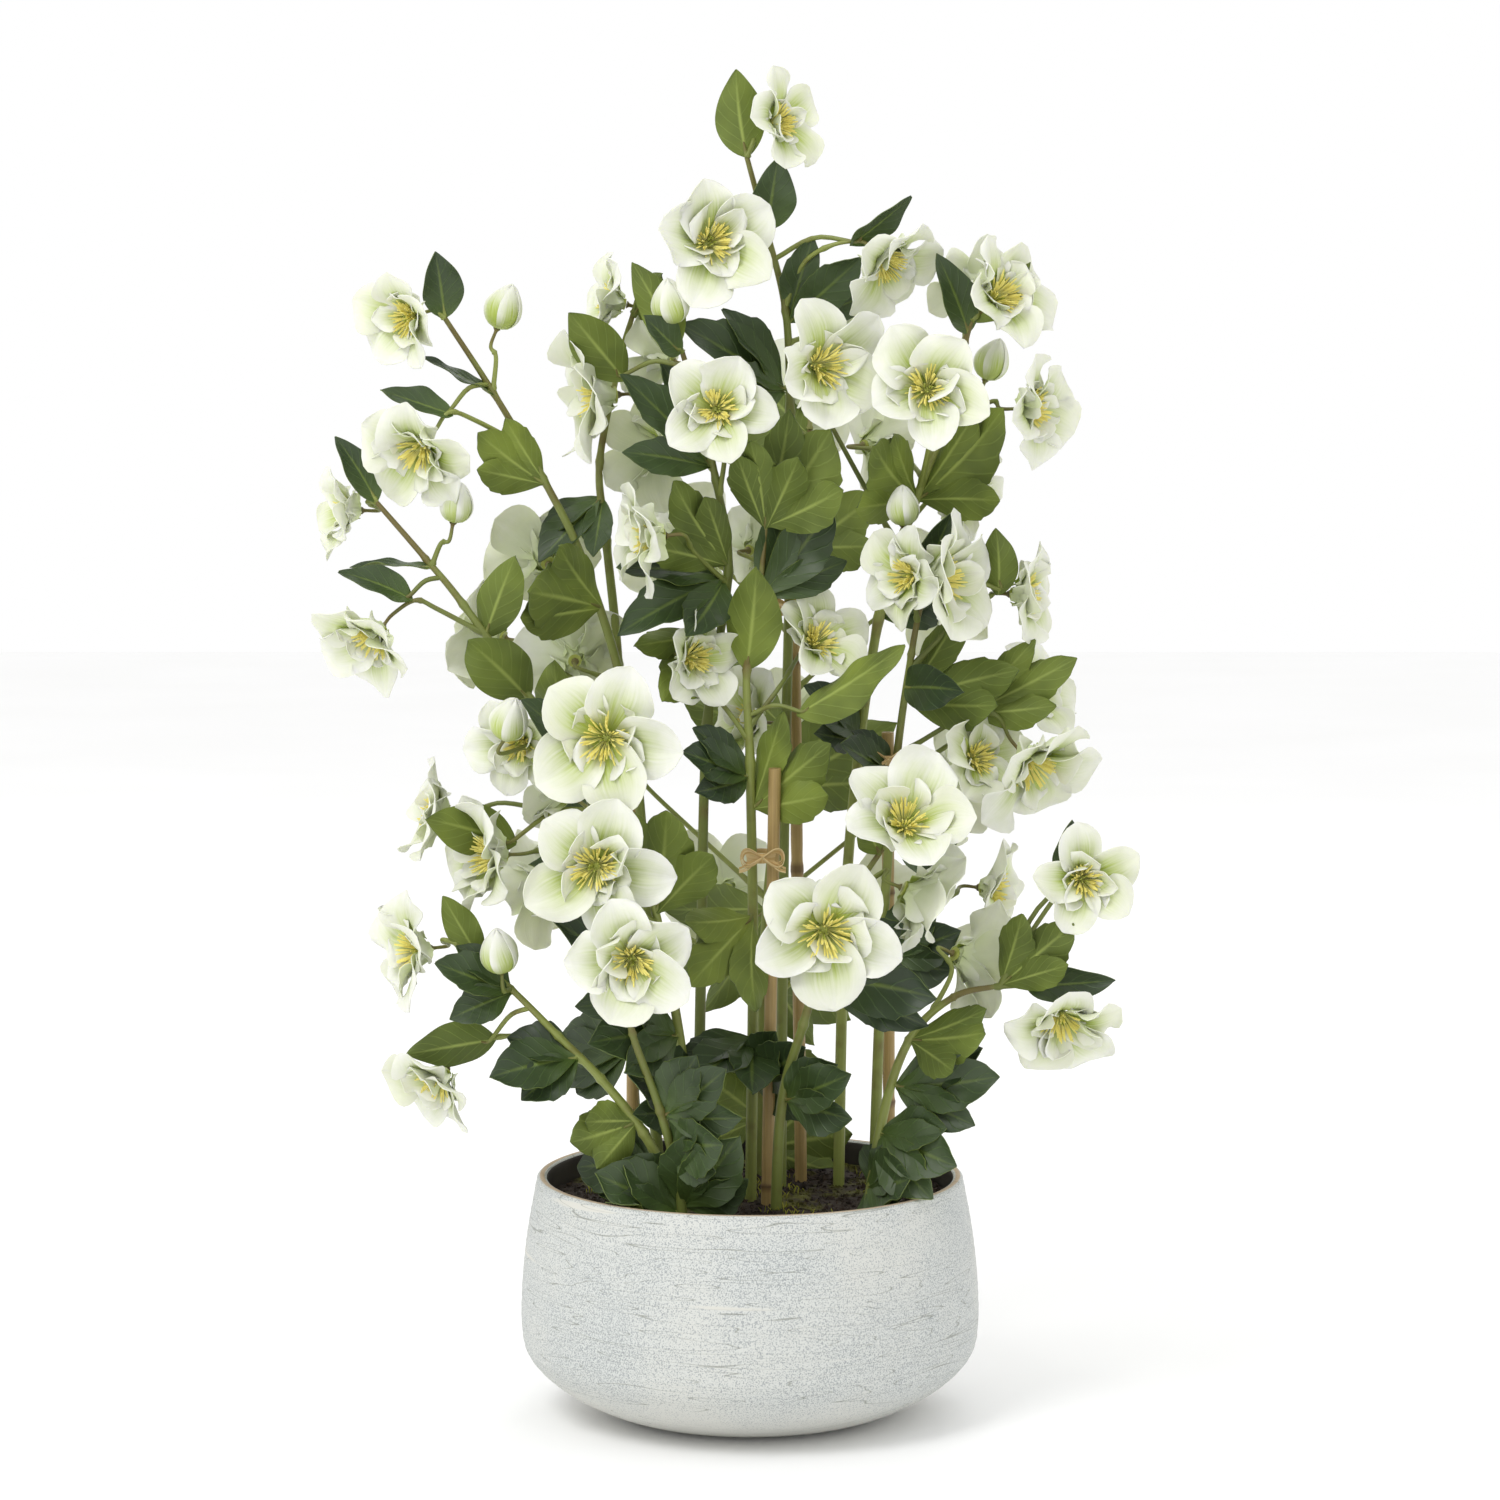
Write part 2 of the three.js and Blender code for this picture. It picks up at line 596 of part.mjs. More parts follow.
/** A raffia tie: a flat loop round a cane and its stem, with a small bow in front. */
function tieSolid([centre, half]) {
  const hole = half - TIE_THICKNESS;
  const loop = new THREE.Shape();
  loop.absellipse(0, 0, TIE_SQUASH * half + TIE_THICKNESS, half, 0, 2 * Math.PI);
  const inner = new THREE.Path();
  inner.absellipse(0, 0, TIE_SQUASH * half, hole, 0, 2 * Math.PI, true);
  loop.holes.push(inner);
  const band = new THREE.ExtrudeGeometry(loop, {
    depth: TIE_HEIGHT,
    bevelEnabled: false,
    curveSegments: 12,
  });
  const bow = new THREE.ExtrudeGeometry(bowOutline(), { depth: BOW_THICKNESS, bevelEnabled: false });
  bow.rotateX(Math.PI / 2).translate(0, -half + 1.2, TIE_HEIGHT / 2);
  const joined = solidOf(band).add(solidOf(bow));
  return joined.translate([centre[0], centre[1], centre[2]]);
}

/** The flat outline of a bow: a knot with a tail spreading to each side. */
function bowOutline() {
  const right = [[2.5, -2], [14, -7], [13, -1], [15, 5], [2.5, 2]];
  const left = right.map(([x, y]) => [-x, y]).reverse();
  return new THREE.Shape([...right, ...left].map(([x, y]) => new THREE.Vector2(x, y)));
}

/** A named mesh of one solid, in one of the object's colours. */
function meshOf(name, solid, finish) {
  const [color, roughness] = COLOURS[finish];
  const material = new THREE.MeshStandardMaterial({ color, roughness, metalness: 0 });
  const mesh = new THREE.Mesh(geometryOf(solid), material);
  mesh.name = name;
  return mesh;
}

const hellebore = new THREE.Group();

// The rigid pieces come first, and everything that grows is trimmed to them.
const pot = potSolid();
const wholeSoil = soilSolid();
const canes = Object.entries(CANES).map(([name, ends]) => [name, caneSolid(ends)]);
const caneSpace = canes.map(([, solid]) => swollen(solid));
const claimed = [swollen(pot), ...caneSpace];

// Stems have priority over leaves, so that no leaf cuts through a neighbour's stem.
const rods = SPRAYS.map((spray) => {
  const solid = trimmed(sprayRods(spray), claimed);
  claimed.push(swollen(solid));
  return solid;
});
const rodSpace = claimed.slice(1 + canes.length);

// Leaves and buds keep clear of every other spray and of the compost.
const leafSpace = [swollen(pot), swollen(wholeSoil), ...caneSpace];
const sprays = SPRAYS.map((spray, i) => {
  const others = rodSpace.filter((space, j) => j !== i);
  const foliage = sprayFoliage(spray).subtract(Manifold.union([...leafSpace, ...others]));
  const solid = trimmed(rods[i].add(foliage), [...caneSpace, ...others]);
  leafSpace.push(swollen(foliage));
  return solid;
});
const headSpace = [...leafSpace, ...rodSpace];

SPRAYS.forEach((spray, i) => {
  hellebore.add(meshOf(spray.name, sprays[i], "foliage"));
  spray.blooms.forEach((row, k) => {
    const head = trimmed(flowerHead(row), headSpace);
    headSpace.push(swollen(head));
    hellebore.add(meshOf(`${spray.name}_flower_${k + 1}`, head, "petal"));
  });
});

for (const [name, row] of Object.entries(TIES)) {
  hellebore.add(meshOf(name, trimmed(tieSolid(row), headSpace), "tie"));
}
for (const [name, solid] of canes) {
  hellebore.add(meshOf(name, solid, "cane"));
}
hellebore.add(meshOf("soil", trimmed(wholeSoil, [...rodSpace, ...caneSpace]), "soil"));
hellebore.add(meshOf("pot", pot, "pot"));

export default hellebore;
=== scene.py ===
# %% [markdown]
# # A potted white hellebore
# The real thing is a wide stoneware bowl of compost with fourteen flowering sprays in it.
# The sprays are held up by bamboo canes and raffia ties.
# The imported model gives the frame: which solids there are, and where they stand.
# This lesson gives each of them its finished surface, in metres, in that same frame.

import json

from functools import partial

import bpy
import mathutils
import numpy as np
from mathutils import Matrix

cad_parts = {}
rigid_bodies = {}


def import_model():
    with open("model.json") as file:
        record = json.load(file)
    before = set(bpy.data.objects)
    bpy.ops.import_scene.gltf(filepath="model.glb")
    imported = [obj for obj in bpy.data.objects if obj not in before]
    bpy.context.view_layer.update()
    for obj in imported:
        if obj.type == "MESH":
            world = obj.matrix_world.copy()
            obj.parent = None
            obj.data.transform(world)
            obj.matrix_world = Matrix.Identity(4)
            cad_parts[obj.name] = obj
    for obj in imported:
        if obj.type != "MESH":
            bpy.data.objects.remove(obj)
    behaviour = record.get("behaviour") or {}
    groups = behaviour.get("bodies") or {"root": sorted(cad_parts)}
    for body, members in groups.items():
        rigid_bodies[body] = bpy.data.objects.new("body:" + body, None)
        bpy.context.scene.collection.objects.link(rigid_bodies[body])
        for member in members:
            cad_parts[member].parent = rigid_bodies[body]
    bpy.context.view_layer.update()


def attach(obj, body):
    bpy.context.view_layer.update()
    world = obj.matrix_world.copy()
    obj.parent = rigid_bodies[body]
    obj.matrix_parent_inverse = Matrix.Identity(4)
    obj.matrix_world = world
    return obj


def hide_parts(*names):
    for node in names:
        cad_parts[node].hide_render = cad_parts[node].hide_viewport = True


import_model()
MM = 0.001

# %% [markdown]
# ## Camera and light
# The plant is seen from about three metres, a little above its middle, with a long lens.
# It could be lit by a sky picture, but broad soft lamps and a white surround give the
# gentle shade of a white studio cove, and need no picture.
# Plain display colours are used, so that white petals stay white.

# %% Camera, floor and lamps
CAMERA_PLACE = np.array([0.0, -3.0, 0.75])
CAMERA_TARGET = np.array([0.0, 0.0, 0.436])
VIEW_WIDTH = 0.975
scene = bpy.context.scene
scene.view_settings.view_transform = "Standard"


def look_at(holder, place, target):
    """Puts an object at a place with its -Z axis towards the target and +Y upwards."""
    ahead = (target - place) / np.linalg.norm(target - place)
    side = np.cross(ahead, [0.0, 0.0, 1.0])
    side /= np.linalg.norm(side)
    up = np.cross(side, ahead)
    matrix = np.eye(4)
    matrix[:3, :4] = np.stack([side, up, -ahead, place], axis=1)
    holder.matrix_world = mathutils.Matrix(matrix.tolist())


camera = bpy.data.objects.new("camera", bpy.data.cameras.new("camera"))
distance = np.linalg.norm(CAMERA_TARGET - CAMERA_PLACE)
camera.data.angle = 2 * np.arctan(VIEW_WIDTH / 2 / distance)
look_at(camera, CAMERA_PLACE, CAMERA_TARGET)
scene.collection.objects.link(camera)
scene.camera = camera

LAMPS = {
    "key": ([-1.3, -1.8, 2.6], 1.3, 32),
    "rim": ([0.5, 1.9, 2.2], 1.6, 8),
}
for name, (place, width, watts) in LAMPS.items():
    lamp = bpy.data.objects.new(name, bpy.data.lights.new(name, "AREA"))
    lamp.data.shape = "DISK"
    lamp.data.size = width
    lamp.data.energy = watts
    look_at(lamp, np.array(place), np.array([0.0, 0.0, 0.4]))
    scene.collection.objects.link(lamp)

world = bpy.data.worlds.new("white cove")
world.use_nodes = True
world.node_tree.nodes["Background"].inputs["Color"].default_value = (1.0, 1.0, 1.0, 1.0)
world.node_tree.nodes["Background"].inputs["Strength"].default_value = 1.0
scene.world = world
print("camera", round(distance, 3), "m from the plant;", len(LAMPS), "lamps")

# %% [markdown]
# ## Small tools for surfaces
# Every shape here is a grid of points worked out as whole arrays.
# A petal or a leaf is a sheet with two faces and a rim. A stem or a stamen is a tube.
# Each keeps a strip attribute: how far along, how far across, and which face. Materials read it,
# so veins follow the blade however it bends. Each shape also keeps a tone of its own.

# %% Joining surfaces
def surface(verts, tris, strip, tone=0.5, finish=0):
    """One closed shell. Its signed volume, the sum of corner-to-origin tetrahedra, must be
    positive, and if it isn't then every triangle is turned round."""
    a, b, c = (verts[tris[:, k]] for k in range(3))
    if np.einsum("ij,ij->", a, np.cross(b, c)) < 0:
        tris = tris[:, ::-1]
    return {
        "verts": verts,
        "tris": tris,
        "strip": strip,
        "tone": np.full(len(verts), tone),
        "finish": np.full(len(tris), finish),
    }


def joined(parts):
    """Lays the parts' arrays end to end, with each part's corner numbers moved on."""
    starts = np.cumsum([0] + [len(part["verts"]) for part in parts[:-1]])
    whole = {key: np.concatenate([part[key] for part in parts]) for key in parts[0]}
    whole["tris"] = np.concatenate([part["tris"] + s for part, s in zip(parts, starts)])
    return whole


def grid_tris(rows, cols, wrap=False):
    """Two triangles for each cell of a grid; wrap joins the last column to the first."""
    row = np.arange(rows - 1)[:, None] * cols
    col = np.arange(cols if wrap else cols - 1)[None, :]
    near, far = (row + col).ravel(), (row + (col + 1) % cols).ravel()
    first = np.stack([near, far, far + cols], axis=1)
    second = np.stack([near, far + cols, near + cols], axis=1)
    return np.concatenate([first, second])


def unit(vectors):
    """Vectors divided by their own length."""
    return vectors / np.maximum(np.linalg.norm(vectors, axis=-1, keepdims=True), 1e-12)


# %% Sheets and tubes
def sheet(points, along, across, thickness, tone=0.5, finish=0):
    """A thin blade: the grid moved half its thickness along its normal, the same grid moved
    the other way, and a rim of triangles round the edge between them."""
    rows, cols = points.shape[:2]
    normal = unit(np.cross(np.gradient(points, axis=1), np.gradient(points, axis=0)))
    top = (points + normal * thickness / 2).reshape(-1, 3)
    under = (points - normal * thickness / 2).reshape(-1, 3)
    count = rows * cols
    index = np.arange(count).reshape(rows, cols)
    edge = np.concatenate([index[0, :-1], index[:-1, -1], index[-1, :0:-1], index[:0:-1, 0]])
    after = np.roll(edge, -1)
    rim = np.concatenate([
        np.stack([edge, after, after + count], axis=1),
        np.stack([edge, after + count, edge + count], axis=1),
    ])
    face = grid_tris(rows, cols)
    tris = np.concatenate([face, face[:, ::-1] + count, rim])
    flat = np.stack([along.ravel(), across.ravel()], axis=1)
    strip = np.concatenate([
        np.column_stack([flat, np.ones(count)]),
        np.column_stack([flat, np.zeros(count)]),
    ])
    # The rim has to turn the same way as the two faces: its first edge runs against theirs.
    tris[2 * len(face):] = tris[2 * len(face):, ::-1]
    return surface(np.concatenate([top, under]), tris, strip, tone, finish)


def tubes(paths, radii, sides, tone=0.5, finish=0):
    """Round rods along several paths at once: on each point of a path stands a circle across
    the path's direction, whose start is carried from ring to ring, and both ends are capped."""
    paths = np.asarray(paths, float)
    count, rings = paths.shape[:2]
    ahead = unit(np.gradient(paths, axis=1))
    start = np.cross(ahead[:, 0], [0.31, 0.77, 0.55])
    normal = np.zeros_like(paths)
    normal[:, 0] = unit(start)
    for i in range(1, rings):
        last = normal[:, i - 1]
        lean = np.einsum("ij,ij->i", last, ahead[:, i])[:, None]
        normal[:, i] = unit(last - lean * ahead[:, i])
    other = np.cross(ahead, normal)
    angle = 2 * np.pi * np.arange(sides) / sides
    radii = np.broadcast_to(radii, (count, rings))[..., None, None]
    circle = np.cos(angle)[:, None] * normal[:, :, None] + np.sin(angle)[:, None] * other[:, :,
                                                                                          None]
    skin = (paths[:, :, None] + radii * circle).reshape(count, rings * sides, 3)
    verts = np.concatenate([skin, paths[:, :1], paths[:, -1:]], axis=1)
    ring = np.arange(sides)
    turn = np.roll(ring, -1)
    caps = np.concatenate([
        np.stack([turn, ring, np.full(sides, rings * sides)], axis=1),
        np.stack([ring + (rings - 1) * sides, turn + (rings - 1) * sides,
                  np.full(sides, rings * sides + 1)], axis=1),
    ])
    one = np.concatenate([grid_tris(rings, sides, wrap=True), caps])
    tris = (one[None] + (np.arange(count) * verts.shape[1])[:, None, None]).reshape(-1, 3)
    along = np.concatenate([np.repeat(np.linspace(0, 1, rings), sides), [0.0, 1.0]])
    around = np.concatenate([np.tile(ring / sides, rings), [0.0, 0.0]])
    strip = np.tile(np.column_stack([along, around, np.ones_like(along)]), (count, 1))
    return surface(verts.reshape(-1, 3), tris, strip, tone, finish)


def smooth_path(points, count):
    """A uniform Catmull-Rom curve through the points: each span is a cubic of the points on
    both sides of it, and the ends are mirrored to give the outer spans their fourth point."""
    p = np.asarray(points, float)
    p = np.vstack([2 * p[0] - p[1], p, 2 * p[-1] - p[-2]])
    place = np.linspace(0, len(points) - 1, count)
    i = np.minimum(place.astype(int), len(points) - 2)
    t = (place - i)[:, None]
    a, b, c, d = p[i], p[i + 1], p[i + 2], p[i + 3]
    return 0.5 * (2 * b + (c - a) * t + (2 * a - 5 * b + 4 * c - d) * t**2
                  + (3 * b - a - 3 * c + d) * t**3)


# %% Putting a surface into the scene
def place_mesh(name, whole, materials, nodes=(), sharp=0.9):
    """Fills a mesh from the arrays, with smooth faces but hard edges where faces meet at
    more than the sharp angle, parents the piece to the root body and hides the solids it stands for."""
    mesh = bpy.data.meshes.new(name)
    count = len(whole["tris"])
    mesh.vertices.add(len(whole["verts"]))
    mesh.vertices.foreach_set("co", whole["verts"].ravel())
    mesh.loops.add(3 * count)
    mesh.loops.foreach_set("vertex_index", whole["tris"].ravel().astype(np.int32))
    mesh.polygons.add(count)
    mesh.polygons.foreach_set("loop_start", np.arange(0, 3 * count, 3, dtype=np.int32))
    for material in materials:
        mesh.materials.append(material)
    mesh.polygons.foreach_set("material_index", whole["finish"].astype(np.int32))
    mesh.update(calc_edges=True)
    strip = mesh.attributes.new("strip", "FLOAT_VECTOR", "POINT")
    strip.data.foreach_set("vector", whole["strip"].ravel())
    tone = mesh.attributes.new("tone", "FLOAT", "POINT")
    tone.data.foreach_set("value", whole["tone"])
    mesh.shade_smooth()
    mesh.set_sharp_from_angle(angle=sharp)
    piece = bpy.data.objects.new(name, mesh)
    scene.collection.objects.link(piece)
    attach(piece, "root")
    if nodes:
        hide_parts(*nodes)
    return piece


# %% [markdown]
# ## Small tools for materials
# A colour is written as the hex value that a painter would pick, and turned to linear light.
# One function adds a node with its settings and links, and every finish is made from it.
# Each finish is a recipe: given that function, it gives back the inputs of the surface shader.

# %% Colours and nodes
def linear(code):
    """A hex colour as linear light: each channel over 255, then the sRGB curve undone."""
    channel = np.array([int(code[k:k + 2], 16) for k in (1, 3, 5)]) / 255
    low, high = channel / 12.92, ((channel + 0.055) / 1.055) ** 2.4
    return (*np.where(channel <= 0.04045, low, high), 1.0)


def node(tree, kind, inputs, output=0, **settings):
    """Adds one node with its settings. An input is linked if its value is another node's
    socket and set if it is a number or a colour. Gives back the output that was asked for."""
    made = tree.nodes.new("ShaderNode" + kind)
    for key, value in settings.items():
        setattr(made, key, value)
    for key, value in inputs.items():
        if isinstance(value, bpy.types.NodeSocket):
            tree.links.new(value, made.inputs[key])
        else:
            made.inputs[key].default_value = value
    return made.outputs[output] if made.outputs else made


# Settings that are used again and again: a mix of two colours, and the three plain sums.
TINT = {"output": 2, "data_type": "RGBA"}
TIMES, PLUS, MINUS = ({"operation": name} for name in ("MULTIPLY", "ADD", "SUBTRACT"))


def made_of(name, recipe):
    """A new material: the recipe adds its nodes, and what it gives back feeds the shader."""
    material = bpy.data.materials.new(name)
    material.use_nodes = True
    material.node_tree.nodes.clear()
    add = partial(node, material.node_tree)
    add("OutputMaterial", {"Surface": add("BsdfPrincipled", recipe(add))})
    return material


# %% [markdown]
# ## The bowl
# The real bowl is stoneware thrown on a wheel, with a thin lip and a low rounded shoulder.
# It could be spun from a curve with a Screw modifier. Here the profile is worked out as an
# array and turned round the axis, because the wall can then carry the faint throwing rings.

# %% Bowl profile
POT_HEIGHT, FOOT_RADIUS = 0.157, 0.072
SOIL_TOP = 0.140
OUTSIDE = np.array([
    [72, 0], [94, 4], [118, 15], [136, 28], [147, 42], [150, 58], [150, 78], [148, 105],
    [144, 132], [139.6, 155],
]) * MM
INSIDE = np.array([[133, 154], [137.5, 132], [142.5, 96], [143.5, 60], [128, 30], [90, 12]]) * MM
LIP_STEPS = 7
THROWING_RING = 0.00012


def bowl(turns=224, rings_per_point=8):
    """A profile of radius and height turned round the axis. The outer wall's radius carries
    two slow waves of height, which are the marks of the thrower's fingers."""
    wall = smooth_path(OUTSIDE, len(OUTSIDE) * rings_per_point)
    wall[:, 0] += THROWING_RING * (np.sin(wall[:, 1] * 900) + 0.6 * np.sin(wall[:, 1] * 2100 + 1))
    arc = np.linspace(0, np.pi, LIP_STEPS + 2)[1:-1]
    middle, half = (OUTSIDE[-1, 0] + INSIDE[0, 0]) / 2, (OUTSIDE[-1, 0] - INSIDE[0, 0]) / 2
    lip = np.column_stack([middle + half * np.cos(arc), 0.1546 + 0.0023 * np.sin(arc)])
    hollow = smooth_path(INSIDE, len(INSIDE) * 4)
    foot = np.column_stack([np.linspace(0.001, FOOT_RADIUS - 0.0015, 8), np.zeros(8)])
    floor_line = np.column_stack([np.linspace(0.08, 0.001, 6), np.full(6, 0.009)])
    profile = np.vstack([foot, wall, lip, hollow, floor_line])
    angle = 2 * np.pi * np.arange(turns) / turns
    skin = np.stack([
        profile[:, None, 0] * np.cos(angle),
        profile[:, None, 0] * np.sin(angle),
        np.broadcast_to(profile[:, None, 1], (len(profile), turns)),
    ], axis=-1).reshape(-1, 3)
    poles = np.array([[0, 0, 0], [0, 0, 0.009]])
    ring, last = np.arange(turns), (len(profile) - 1) * turns
    turn = np.roll(ring, -1)
    caps = np.concatenate([
        np.stack([turn, ring, np.full(turns, len(skin))], axis=1),
        np.stack([ring + last, turn + last, np.full(turns, len(skin) + 1)], axis=1),
    ])
    tris = np.concatenate([grid_tris(len(profile), turns, wrap=True), caps])
    strip = np.zeros((len(skin) + 2, 3))
    inner_rows = np.arange(len(profile)) >= len(foot) + len(wall) + len(lip) - 1
    whole = surface(np.vstack([skin, poles]), tris, strip)
    row = np.minimum(whole["tris"].min(axis=1) // turns, len(profile) - 1)
    whole["finish"] = inner_rows[row].astype(int)
    return whole


# %% Stoneware finishes
# Stoneware with a matt, slightly crawled white glaze: fine iron and cobalt specks show through
# it in clouds, and hairline crazing runs round the wall. It scatters light with no mirror.
def stoneware(add):
    """Off-white, stippled all over with grey-blue specks of under a millimetre that thicken in
    clouds, with fine hairlines that run round the wall and a few bare cream patches."""
    place = add("TexCoord", {}, output="Object")
    stretched = add("Mapping", {"Vector": place, "Scale": (3.4, 3.4, 66)})
    height = add("SeparateXYZ", {0: place}, output="Z")
    speck = add("TexNoise", {"Vector": place, "Scale": 1150, "Detail": 2.0})
    cloud = add("TexNoise", {"Vector": place, "Scale": 13, "Detail": 4.0, "Roughness": 0.55})
    band = add("TexNoise", {"Vector": stretched, "Scale": 1.0, "Detail": 2.0, "Roughness": 0.4})
    gap = add("TexNoise", {"Vector": stretched, "Scale": 0.8, "Detail": 1.0})
    # Hairlines are the level lines of a noise that is stretched round the wall.
    level = add("Math", {0: add("Math", {0: band, 1: 17.0}, **TIMES), 1: 0.5}, operation="PINGPONG")
    hair = add("MapRange", {0: level, 1: 0.0, 2: 0.040, 3: 1.0, 4: 0.0})
    hair = add("Math", {0: hair, 1: add("MapRange", {0: gap, 1: 0.34, 2: 0.44})}, **TIMES)
    bare = add("MapRange", {0: gap, 1: 0.66, 2: 0.675})
    low = add("MapRange", {0: height, 1: 0.008, 2: 0.040, 3: 0.25, 4: 1.0})
    thick = add("MapRange", {0: cloud, 1: 0.34, 2: 0.66, 3: 0.55, 4: 1.0})
    covered = add("Math", {0: thick, 1: low}, **TIMES)
    amount = add("Math", {0: covered, 1: bare}, operation="SUBTRACT", use_clamp=True)
    edge = add("MapRange", {0: amount, 3: 0.62, 4: 0.48})
    dots = add("MapRange", {0: speck, 1: edge, 2: add("Math", {0: edge, 1: 0.09}, **PLUS)})
    dots = add("Math", {0: dots, 1: add("MapRange", {0: amount, 1: 0.0, 2: 0.5, 3: 0.0, 4: 0.9})},
               **TIMES)
    body = add("Mix", {0: amount, 6: linear("#d3d2ca"), 7: linear("#ced1ce")}, **TINT)
    spotted = add("Mix", {0: dots, 6: body, 7: linear("#9a9fa1")}, **TINT)
    lined = add("Mix", {0: add("Math", {0: hair, 1: 0.8}, **TIMES), 6: spotted,
                        7: linear("#85887f")}, **TINT)
    rim = add("MapRange", {0: height, 1: 0.15645, 2: 0.15675, 3: 0.0, 4: 0.75})
    relief = add("Math", {0: add("Math", {0: speck, 1: 0.6}, **TIMES), 1: hair}, **MINUS)
    return {
        "Base Color": add("Mix", {0: rim, 6: lined, 7: linear("#b79a72")}, **TINT),
        "Roughness": 0.8,
        "Normal": add("Bump", {"Height": relief, "Strength": 0.25, "Distance": 0.0005}),
    }


# The inside is painted shade: a nearly black brown stands for the shade that falls inside the bowl.
def painted_shade_inside(add):
    """Nearly black brown painted shade, blotched over centimetres, and a little glossier than the
    outside.
    """
    place = add("TexCoord", {}, output="Object")
    blotch = add("TexNoise", {"Vector": place, "Scale": 45, "Detail": 6.0})
    return {
        "Base Color": add("Mix", {0: blotch, 6: linear("#2a2520"), 7: linear("#55504a")}, **TINT),
        "Roughness": 0.7,
    }


BOWL_FINISHES = [
    made_of("matt speckled stoneware glaze", stoneware),
    # The second finish paints the shade inside the bowl as a nearly black brown.
    made_of("painted shade inside the bowl", painted_shade_inside),
]
bowl_piece = place_mesh("stoneware_bowl", bowl(), BOWL_FINISHES, ["pot"])
print("bowl faces:", len(bowl_piece.data.polygons))

# %% [markdown]
# ## Compost and moss
# The real compost is loose bark and peat with green moss on it, a little below the lip.
# A flat disc with a bump would look like felt from the side, so the disc is really rough,
# hundreds of small crumbs lie on it, and the moss is short curved threads.

# %% Compost
rng = np.random.default_rng(20)


def hills(x, y, seed, waves=26, finest=620):
    """A rough height field: the mean of many sine waves in random directions, whose lengths
    run from a few centimetres down to about a centimetre over two pi."""
    draw = np.random.default_rng(seed)
    pitch = draw.uniform(60, finest, waves)
    angle, phase = draw.uniform(0, 2 * np.pi, (2, waves))
    wave = np.sin(pitch * (x[..., None] * np.cos(angle) + y[..., None] * np.sin(angle)) + phase)
    return (wave * (60 / pitch) ** 0.5).sum(axis=-1) / waves**0.5


def soil_height(x, y):
    """The crowned top of the compost with its bumps."""
    crown = 0.003 * (1 - (x**2 + y**2) / 0.13**2)
    return SOIL_TOP + crown + 0.0016 * hills(x, y, 3)


def compost(turns=180, rings=90, side=0.1345):
    """A disc in polar steps with the height field on it, closed by a wall and a flat base."""
    radius = side * (np.arange(1, rings + 1) / rings) ** 0.8
    angle = 2 * np.pi * np.arange(turns) / turns
    x, y = radius[:, None] * np.cos(angle), radius[:, None] * np.sin(angle)
    top = np.stack([x, y, soil_height(x, y)], axis=-1)
    wall = np.stack([x[-1], y[-1], np.full(turns, 0.115)], axis=-1)[None]
    skin = np.concatenate([top, wall]).reshape(-1, 3)
    centre = np.array([[0, 0, SOIL_TOP + 0.003], [0, 0, 0.115]])
    ring = np.arange(turns)
    turn = np.roll(ring, -1)
    last = rings * turns
    caps = np.concatenate([
        np.stack([turn, ring, np.full(turns, len(skin))], axis=1),
        np.stack([ring + last, turn + last, np.full(turns, len(skin) + 1)], axis=1),
    ])
    tris = np.concatenate([grid_tris(rings + 1, turns, wrap=True), caps])
    return surface(np.vstack([skin, centre]), tris, np.zeros((len(skin) + 2, 3)))


def scattered(count, reach, seed):
    """Random places over the compost, even over its area."""
    draw = np.random.default_rng(seed)
    radius, angle = reach * np.sqrt(draw.random(count)), draw.uniform(0, 2 * np.pi, count)
    x, y = radius * np.cos(angle), radius * np.sin(angle)
    return np.stack([x, y, soil_height(x, y)], axis=-1), draw


def crumbs(count=2600):
    """Lumps of bark: an eight-cornered ball for each, squashed, turned and scaled at random."""
    places, draw = scattered(count, 0.129, 5)
    corners = unit(np.array([[1, 0, 0], [-1, 0, 0], [0, 1, 0], [0, -1, 0], [0, 0, 1],
                             [0, 0, -1.0]]))
    faces = np.array([[0, 2, 4], [2, 1, 4], [1, 3, 4], [3, 0, 4], [2, 0, 5], [1, 2, 5], [3, 1, 5],
                      [0, 3, 5]])
    size = draw.uniform(0.0008, 0.0026, (count, 1, 1)) * draw.uniform(0.5, 1.3, (count, 1, 3))
    turn, _ = np.linalg.qr(draw.normal(size=(count, 3, 3)))
    verts = np.einsum("nij,nkj->nki", turn,
                      corners[None] * size * draw.uniform(0.7, 1.3, (count, 6, 1)))
    verts = (verts + places[:, None]).reshape(-1, 3)
    flip = np.linalg.det(turn) < 0
    tris = np.where(flip[:, None, None], faces[None, :, ::-1], faces[None])
    tris = (tris + (np.arange(count) * 6)[:, None, None]).reshape(-1, 3)
    whole = surface(verts, tris, np.zeros_like(verts))
    whole["tone"] = np.repeat(draw.random(count), 6)
    return whole


def moss(count=1500):
    """Short threads that stand in tufts, each one bending over as it rises."""
    places, draw = scattered(count, 0.126, 8)
    tuft = hills(places[:, 0], places[:, 1], 11, finest=200) > 0.35
    places = places[tuft]
    lean = draw.normal(size=(len(places), 3)) * [1, 1, 0.3]
    step = np.linspace(0, 1, 4)[None, :, None]
    up = np.array([0, 0, 1.0])
    length = draw.uniform(0.002, 0.005, (len(places), 1, 1))
    paths = places[:, None] + length * (step * up + 0.6 * step**2 * unit(lean)[:, None])
    return tubes(paths, np.array([0.6, 0.7, 0.6, 0.2]) * 0.0006, 4, finish=1)


